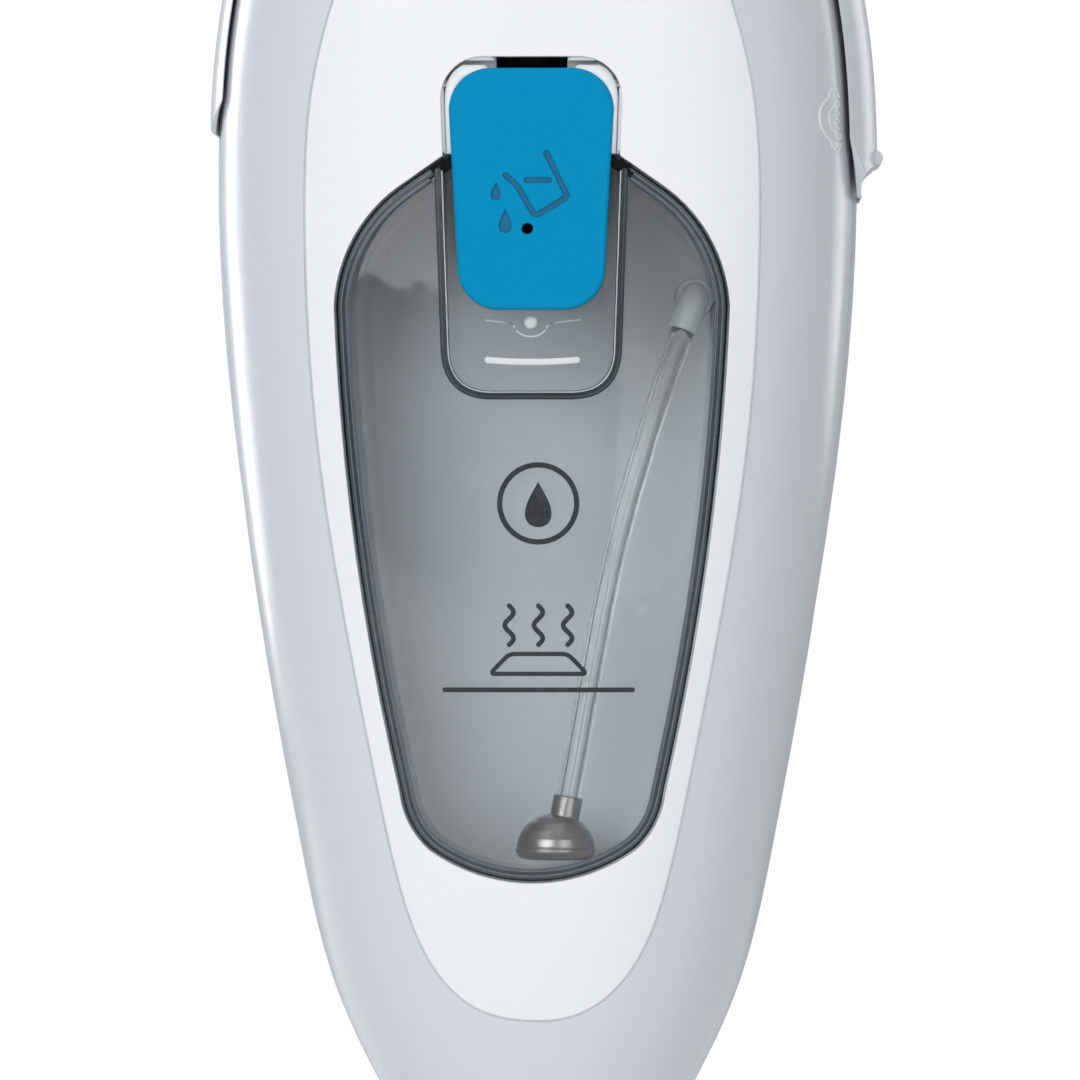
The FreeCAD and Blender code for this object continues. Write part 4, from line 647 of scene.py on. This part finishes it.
def make_flank_icon():
    """A small raised steam cloud on the right flank, in front of the steam slider."""
    tree = surface_of("front_cover")

    def lay(u, v):
        return side_of(tree, u, v)

    def cloud(cy, cz, scale):
        out = []
        for oy, oz, radius, start, end in (
            (0.6, 4.0, 2.5, 20, 165),
            (-1.6, 0.0, 4.0, 128, 232),
            (0.6, -4.0, 2.5, 195, 340),
        ):
            out += arc(cy + oy * scale, cz + oz * scale, radius * scale, start, end, 16)
        return out

    cy, cz = -0.0310, 0.6075
    outer = resample(cloud(cy, cz, MM), 0.0004)
    inner = resample(cloud(cy + 0.0012, cz, 0.62 * MM), 0.0004)
    strips = [(ribbon(outer, 0.0005), False), (ribbon(inner, 0.0005), False)]
    for dz in (-0.0016, 0.0, 0.0016):
        wisp = [
            (cy + 0.0004 + 0.0022 * k / 12, cz + dz + 0.0003 * math.sin(k / 2))
            for k in range(13)
        ]
        strips.append((ribbon(wisp, 0.0004), False))
    piece = strip_solid("flank_icon", strips, lay, -0.0002, 0.00025)
    piece.data.materials.append(paints["white_panel"].mat)
    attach(piece, "steam_unit")


# ------------------------------------------------------ seams and recess
def outline_of(node):
    """Convex outline of a CAD node seen from the front, counter-clockwise."""
    points = sorted({(round(v.co.x, 6), round(v.co.z, 6)) for v in nodes[node].data.vertices})

    def half(run):
        chain = []
        for p in run:
            while len(chain) > 1 and (
                (chain[-1][0] - chain[-2][0]) * (p[1] - chain[-2][1])
                - (chain[-1][1] - chain[-2][1]) * (p[0] - chain[-2][0])
            ) <= 0:
                chain.pop()
            chain.append(p)
        return chain

    lower, upper = half(points), half(reversed(points))
    return [Vector(p) for p in lower[:-1] + upper[:-1]]


def outward(points, i, closed=True):
    """Outward direction at a point of a counter-clockwise outline."""
    count = len(points)
    before = points[i - 1] if closed or i > 0 else points[i]
    after = points[(i + 1) % count] if closed or i < count - 1 else points[i]
    run = (after - before).normalized()
    return Vector((run.y, -run.x))


def make_panel_seam_shade():
    """Pale grey line at the bottom of the gap round the front panel: painted shade that marks the
    seam.
    """
    tree = surface_of("front_panel")
    gap = 0.0003
    line = resample([tuple(p) for p in outline_of("front_panel")], 0.003, closed=True)
    verts, faces = [], []
    n = len(line)
    for i, p in enumerate(line):
        out = outward(line, i)
        on_panel = p - out * 0.0006
        spot, _ = front_of(tree, on_panel.x, on_panel.y)
        for side, deep in ((0.02, 0.00035), (0.98, 0.00035), (0.98, 0.0011), (0.02, 0.0011)):
            q = p + out * gap * side
            verts.append((q.x, spot.y + deep, q.y))
    for i in range(n):
        a, b = 4 * i, 4 * ((i + 1) % n)
        for k in range(4):
            faces.append((a + k, a + (k + 1) % 4, b + (k + 1) % 4, b + k))
    piece = mesh_object("panel_seam_shade", verts, faces)
    # The strip's grey paints the shade in the seam's gap.
    piece.data.materials.append(paints["pale_grey"].mat)
    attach(piece, "steam_unit")


# The cap's recess from the front: its top and foot, half widths there, its
# corners, where the tank's upper edge crosses it, and the finger slot's half.
RECESS_TOP, RECESS_FOOT = 0.6191, 0.5506
RECESS_HALF_TOP, RECESS_HALF_FOOT = 0.0189, 0.0165
RECESS_CORNER = 0.0085
RECESS_CROSSING = 0.5992
SLOT_HALF = 0.0075


def recess_half(z):
    """Half width of the tapering recess at a height."""
    share = (z - RECESS_FOOT) / (RECESS_TOP - RECESS_FOOT)
    return RECESS_HALF_FOOT + share * (RECESS_HALF_TOP - RECESS_HALF_FOOT)


def recess_line(side, step=0.0008):
    """Upper edge of the cap's recess, from the finger slot round and down one side."""
    points = [
        (side * SLOT_HALF, RECESS_TOP),
        (side * RECESS_HALF_TOP, RECESS_TOP),
        (side * recess_half(RECESS_CROSSING), RECESS_CROSSING),
    ]
    return resample(round_corners(points, RECESS_CORNER, closed=False, steps=16), step)


def recess_wire(inset):
    """The recess's outline above the tank, open at its foot, moved inwards."""
    edge = recess_half(RECESS_CROSSING)
    points = [
        (edge - inset, RECESS_CROSSING),
        (RECESS_HALF_TOP - inset, RECESS_TOP - inset),
        (-RECESS_HALF_TOP + inset, RECESS_TOP - inset),
        (-edge + inset, RECESS_CROSSING),
    ]
    return round_corners(points, RECESS_CORNER, closed=False, steps=16)


def make_recess_lip():
    """Curved white wall between the panel's edge and the filler cap."""
    tree = surface_of("front_panel")
    steps = 8
    rows = []  # the wall's section in mm: how far in from the edge, how deep
    for k in range(steps + 1):
        a = math.pi / 2 * k / steps
        rows.append((0.76 - 0.70 * math.cos(a), 0.10 + 1.15 * math.sin(a)))
    for k in reversed(range(steps + 1)):
        a = math.pi / 2 * k / steps
        rows.append((0.76 - 0.74 * math.cos(a), 0.10 + 1.50 * math.sin(a)))
    for side, name in ((1, "recess_lip_right"), (-1, "recess_lip_left")):
        line = recess_line(side)
        verts, faces = [], []
        for i, p in enumerate(line):
            out = outward(line, i, closed=False) * -side
            spot, _ = front_of(tree, p.x + out.x * 0.0008, p.y + out.y * 0.0008)
            for t, deep in rows:
                q = p - out * t * MM
                verts.append((q.x, spot.y + deep * MM, q.y))
        row = len(rows)
        for i in range(len(line) - 1):
            for k in range(row):
                m = (k + 1) % row
                a = i * row
                faces.append((a + k, a + m, a + row + m, a + row + k))
        faces.append(tuple(range(row)))
        faces.append(tuple(reversed(range((len(line) - 1) * row, len(line) * row))))
        piece = mesh_object(name, verts, faces)
        piece.data.materials.append(paints["white_panel"].mat)
        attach(piece, "steam_unit")


def make_cap_flange():
    """White rim on the filler cap that closes the gap to the recess's wall."""
    tree = surface_of("filler_cap")
    crown = crown_fit("filler_cap", tree)
    clearance, wide, deep, thick = 0.00086, 0.0024, 0.0010, 0.0005
    slot_edge, bend, highest = 0.0078, 0.606, 0.6174
    for side, name in ((1, "cap_flange_right"), (-1, "cap_flange_left")):
        wire = [p for p in recess_wire(clearance) if p.x > slot_edge]
        outer = [Vector((abs(p.x) * side, min(p.y, highest))) for p in wire]
        verts, faces = [], []
        for p in outer:
            drop = wide * max(0.0, (p.y - bend) / 0.011)
            inner = Vector((p.x - side * wide, p.y - drop))
            depth = crown(Vector((p.x * 0.9, 0.0, min(p.y, 0.614))))[0]
            for q, d in ((p, deep), (inner, deep), (inner, deep + thick), (p, deep + thick)):
                verts.append((q.x, depth + d, q.y))
        for i in range(len(outer) - 1):
            a, b = 4 * i, 4 * (i + 1)
            for k in range(4):
                m = (k + 1) % 4
                faces.append((a + k, a + m, b + m, b + k))
        faces.append((0, 1, 2, 3))
        last = 4 * (len(outer) - 1)
        faces.append((last + 3, last + 2, last + 1, last))
        piece = mesh_object(name, verts, faces)
        piece.data.materials.append(paints["white_panel"].mat)
        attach(piece, "filler_cap")


def make_recess_shade_lines():
    """Painted shade for the dark edge of the tank's wall round its recess, with a painted
    highlight as the fine light line inside it.
    """
    lay = on_front("tank_front")

    def run(grow, high=0.5956):
        edge = recess_half(high)
        points = [
            (edge + grow, high),
            (RECESS_HALF_FOOT + grow, RECESS_FOOT - grow),
            (-RECESS_HALF_FOOT - grow, RECESS_FOOT - grow),
            (-edge - grow, high),
        ]
        rounded = round_corners(points, RECESS_CORNER + grow, closed=False, steps=20)
        return resample(rounded, 0.0007)

    # Dark strips are painted shade; the light and teal lines are painted reflections in the glass.
    for name, grow, wide, low, high, colour in (
        ("recess_shade_inner", 0.00010, 0.00016, -0.0006, -0.00035, (0.012, 0.018, 0.026)),
        ("recess_highlight_line", 0.00030, 0.00022, -0.0006, -0.00035, (0.75, 0.78, 0.80)),
        ("recess_shade_band", 0.00112, 0.00138, -0.0006, -0.00035, (0.008, 0.014, 0.022)),
        ("recess_teal_glint", 0.00130, 0.00022, -0.00034, -0.00028, (0.05, 0.09, 0.12)),
    ):
        piece = strip_solid(name, [(ribbon(run(grow), wide), False)], lay, low, high)
        piece.data.materials.append(moulded(name, colour, 0.25).mat)
        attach(piece, "steam_unit")


def make_tank_rim_shading():
    """Painted shade as slate bands and painted highlights as hairlines in the thick edge of the
    clear tank.
    """
    lay = on_front("tank_front")
    outline = resample([tuple(p) for p in outline_of("tank_front")], 0.0012, closed=True)
    count = len(outline)
    outs = [outward(outline, i) for i in range(count)]
    gap_low, gap_half = 0.5965, 0.012  # the outline starts in the middle of its top

    def in_gap(i):
        return outline[i].y > gap_low and abs(outline[i].x) < gap_half

    start = max(range(count), key=lambda i: (in_gap(i), -i))

    def run(inset):
        spots = []
        for k in range(count):
            i = (start + k) % count
            p = outline[i] - outs[i] * inset
            if p.y < 0.5972 - inset or abs(p.x) > 0.0232:
                spots.append(p)
        smooth = []
        for k in range(len(spots)):
            near = spots[max(0, k - 2) : k + 3]
            smooth.append(sum(near, Vector((0.0, 0.0))) / len(near))
        return smooth

    # Dark bands are painted shade; the light hairlines are painted highlights.
    for name, inset, wide, low, high, colour in (
        ("tank_rim_outer_shade", 0.00062, 0.00055, -0.0006, -0.00035, (0.045, 0.060, 0.078)),
        ("tank_rim_hair_highlight", 0.00100, 0.00018, -0.0006, -0.00033, (0.26, 0.31, 0.35)),
        ("tank_rim_dark_shade", 0.00145, 0.00072, -0.0006, -0.00035, (0.018, 0.027, 0.038)),
        ("tank_rim_inner_highlight", 0.00193, 0.00020, -0.0006, -0.00035, (0.20, 0.25, 0.29)),
        ("tank_rim_shade", 0.00228, 0.00048, -0.0006, -0.00035, (0.09, 0.115, 0.14)),
    ):
        piece = strip_solid(name, [(ribbon(run(inset), wide, cap_steps=2), False)], lay, low, high)
        piece.data.materials.append(moulded(name, colour, 0.25).mat)
        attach(piece, "steam_unit")


def make_recess_marks():
    """Moulded rib and peg on the floor of the cap's recess, and a bright bar there that is a
    painted highlight.
    """
    lay = on_front("tank_front")
    peg_x, peg_z = -0.0003, 0.5649
    dip = [
        (peg_x + 0.0036 * math.sin(a), peg_z - 0.0030 * math.cos(a))
        for a in np.linspace(-1.45, 1.45, 24)
    ]
    rib = round_corners(
        [(-0.0096, 0.5653), *dip, (0.0099, 0.5654)], 0.0006, closed=False, steps=3
    )
    strips = [(ribbon(resample(rib, 0.0006), 0.00035), False)]
    piece = strip_solid("recess_rib", strips, lay, 0.0, 0.0004)
    piece.data.materials.append(moulded("recess_mark", (0.80, 0.82, 0.84), 0.2).mat)
    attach(piece, "steam_unit")

    peg = [(0.00142, 0.0), (0.00142, 0.0008), (0.00122, 0.00105), (0.0007, 0.00118)]
    around = 32
    spot, _ = lay(peg_x, peg_z)
    verts, faces = [], []
    for radius, high in peg:
        for k in range(around):
            a = 2 * math.pi * k / around
            x, z = peg_x + radius * math.cos(a), peg_z + radius * math.sin(a)
            verts.append((x, spot.y - high, z))
    for r in range(len(peg) - 1):
        a, b = r * around, (r + 1) * around
        for k in range(around):
            m = (k + 1) % around
            faces.append((a + k, a + m, b + m, b + k))
    faces.append(tuple(range(around)))
    faces.append(tuple(reversed(range(len(verts) - around, len(verts)))))
    piece = mesh_object("recess_peg", verts, faces)
    piece.data.materials.append(paints["peg_white"].mat)
    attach(piece, "steam_unit")

    # Painted highlight: a white bar along the recess's curved floor, where a lamp would be
    # reflected.
    glint_arc = [
        (-0.0092 + 0.0184 * k / 24, 0.5571 - 0.0004 * (1 - (k / 12 - 1) ** 2))
        for k in range(25)
    ]
    piece = strip_solid("recess_highlight_bar", [(ribbon(glint_arc, 0.0013), False)], lay, 0.0, 0.0003)
    piece.data.materials.append(paints["peg_white"].mat)
    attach(piece, "steam_unit")


# ---------------------------------------------------------------------- pad
def delta_outline(grow, steps=18):
    """The mop head's outline: a rounded triangle, nose to the front."""
    low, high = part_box("head_base")
    nose_round, heel_round = 0.036, 0.040
    circles = [
        (Vector((0.0, low.y + nose_round)), nose_round + grow),
        (Vector((high.x - heel_round, high.y - heel_round)), heel_round + grow),
        (Vector((low.x + heel_round, high.y - heel_round)), heel_round + grow),
    ]
    out = []
    for i, (centre, radius) in enumerate(circles):
        before, after = circles[i - 1], circles[(i + 1) % 3]
        angles = []
        for one, two in ((before, (centre, radius)), ((centre, radius), after)):
            run = two[0] - one[0]
            turn = math.asin((one[1] - two[1]) / run.length)
            angles.append(math.atan2(run.y, run.x) - math.pi / 2 + turn)
        start, end = angles
        while end < start:
            end += 2 * math.pi
        for k in range(steps + 1):
            a = start + (end - start) * k / steps
            out.append(centre + Vector((math.cos(a), math.sin(a))) * radius)
    return out


def make_pad():
    """Microfibre pad: a stuffed cloth pouch with sewn channels and a bound edge."""
    low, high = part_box("microfibre_pad")
    thick = high.z - low.z
    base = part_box("head_base")
    grow = base[0].y - low.y
    outline = resample([tuple(p) for p in delta_outline(grow - 0.004)], 0.006, closed=True)
    n = len(outline)
    centre = sum(outline, Vector((0.0, 0.0))) / n
    verts, faces = [], []
    inset = thick * 0.18
    for z in (low.z + inset, high.z - inset):
        for p in outline:
            verts.append((p.x, p.y, z))
        verts.append((centre.x, centre.y, z))
    for k in range(n):
        m = (k + 1) % n
        faces.append((k, m, n + 1 + m, n + 1 + k))
        faces.append((n, m, k))
        faces.append((2 * n + 1, n + 1 + k, n + 1 + m))
    pad = mesh_object("mop_pad", verts, faces)
    remesh = pad.modifiers.new("remesh", "REMESH")
    remesh.mode = "VOXEL"
    remesh.voxel_size = 0.0045
    apply_modifiers(pad)
    rest = np.array([v.co for v in pad.data.vertices])
    settle = 20
    cloth = pad.modifiers.new("cloth", "CLOTH")
    cloth.settings.use_pressure = True
    cloth.settings.uniform_pressure_force = 4.0
    cloth.settings.effector_weights.gravity = 0.0
    cloth.settings.quality = 5
    cloth.point_cache.frame_start = 1
    cloth.point_cache.frame_end = settle
    for f in range(1, settle + 1):
        scene.frame_set(f)
    apply_modifiers(pad)
    scene.frame_set(1)
    moved = np.array([v.co for v in pad.data.vertices])
    shift = moved - rest
    reach = np.linalg.norm(shift, axis=1, keepdims=True)
    most = 0.0045
    shift *= np.minimum(1.0, most / np.maximum(reach, 1e-9))
    placed = rest + shift
    for v, co in zip(pad.data.vertices, placed):
        v.co = co
    divide = pad.modifiers.new("divide", "SUBSURF")
    divide.levels = 2
    divide.render_levels = 2
    apply_modifiers(pad)
    pad.data.update()
    middle = (low.z + high.z) / 2
    edge = resample([tuple(p) for p in delta_outline(grow)], 0.004, closed=True)
    edge_points = np.array([(p.x, p.y) for p in edge])
    co = np.array([v.co for v in pad.data.vertices])
    away = np.sqrt(
        ((co[:, None, :2] - edge_points[None, :, :]) ** 2).sum(2)
    ).min(1)
    channel = 0.022
    row = np.abs((co[:, 1] - low.y) / channel % 1.0 - 0.5) * channel
    sewn = np.exp(-((row / 0.0014) ** 2)) * (away > 0.016)
    seam = np.exp(-(((away - 0.0105) / 0.0013) ** 2))
    pull = np.clip(np.maximum(sewn, seam), 0, 1)
    side = np.sign(co[:, 2] - middle)
    flat = middle + (co[:, 2] - middle) * (1 - 0.42 * pull)
    for i, v in enumerate(pad.data.vertices):
        tuft = noise.noise(Vector(co[i]) * 520.0) * 0.0006
        tuft += noise.noise(Vector(co[i]) * 130.0) * 0.0004
        z = flat[i] + side[i] * tuft * (1 - 0.5 * pull[i])
        z = min(max(z, low.z + 0.0001), high.z - 0.00005)
        v.co.z = z
    pad.data.update()
    for face in pad.data.polygons:
        face.use_smooth = True
    pad.data.materials.clear()
    pad.data.materials.append(paints["pad_fabric"].mat)
    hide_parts("microfibre_pad")
    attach(pad, "mop_head")


# -------------------------------------------------------------------- stage
def make_stage():
    """Pale floor, white surround and large soft lamps."""
    sides, radius = 96, 5.4
    turns = [2 * math.pi * k / sides for k in range(sides)]
    verts = [(radius * math.cos(a), radius * math.sin(a), 0.0) for a in turns]
    floor = mesh_object("floor", verts, [tuple(range(sides))], smooth=False)
    paint = Paint("floor_paint", (0.86, 0.87, 0.88), 0.55)
    paint.tint(paint.ramp(paint.noise(3.0, 3.0), 0.4, 0.7), (0.85, 0.86, 0.87))
    floor.data.materials.append(paint.mat)

    world = bpy.data.worlds.new("surround")
    world.use_nodes = True
    tree = world.node_tree
    back = tree.nodes["Background"]
    back.inputs["Color"].default_value = (0.93, 0.965, 1.0, 1.0)
    back.inputs["Strength"].default_value = 0.34
    plain = tree.nodes.new("ShaderNodeBackground")
    plain.inputs["Color"].default_value = (1.0, 1.0, 1.0, 1.0)
    plain.inputs["Strength"].default_value = 1.0
    mix = tree.nodes.new("ShaderNodeMixShader")
    path = tree.nodes.new("ShaderNodeLightPath")
    tree.links.new(path.outputs["Is Camera Ray"], mix.inputs["Fac"])
    tree.links.new(back.outputs["Background"], mix.inputs[1])
    tree.links.new(plain.outputs["Background"], mix.inputs[2])
    tree.links.new(mix.outputs["Shader"], tree.nodes["World Output"].inputs["Surface"])
    scene.world = world

    def lamp(name, place, aim, size, power, glare=True):
        data = bpy.data.lights.new(name, "AREA")
        data.shape = "RECTANGLE"
        data.size, data.size_y = size
        data.energy = power
        thing = bpy.data.objects.new(name, data)
        thing.location = place
        thing.rotation_euler = (Vector(aim) - Vector(place)).to_track_quat("-Z", "Y").to_euler()
        thing.visible_camera = False
        thing.visible_glossy = glare
        scene.collection.objects.link(thing)

    middle = (0.0, 0.0, 0.55)
    lamp("key", (-1.2, -2.4, 1.3), middle, (1.8, 1.6), 34.0, glare=False)
    lamp("fill", (1.3, -2.4, 0.6), middle, (1.8, 1.8), 18.0, glare=False)
    lamp("back_left", (-1.7, 1.9, 1.1), middle, (1.0, 1.8), 24.0)
    lamp("back_right", (1.6, 2.2, 1.3), middle, (1.2, 1.8), 10.0)
    lamp("overhead", (0.0, -0.2, 3.0), middle, (2.2, 2.2), 20.0)
    scene.view_settings.view_transform = "Standard"
    scene.view_settings.look = "None"


make_camera()
paints = make_materials()
make_hose()
slot_of = {row["node"]: row["material_slot"] for row in frame["record"]["subparts"]}
# The tank's cradle takes the grey finish that paints the shade inside the tank.
finish_of = {**slot_of, "tank_cradle": "cradle_shade_grey", "intake_elbow": "milky_silicone"}
for node, thing in nodes.items():
    for holder in thing.material_slots:
        holder.material = paints[finish_of[node]].mat
make_cap_icon()
make_flank_icon()
make_panel_seam_shade()
make_recess_lip()
make_cap_flange()
make_recess_shade_lines()
make_tank_rim_shading()
make_recess_marks()
make_print()
make_pad()
make_stage()
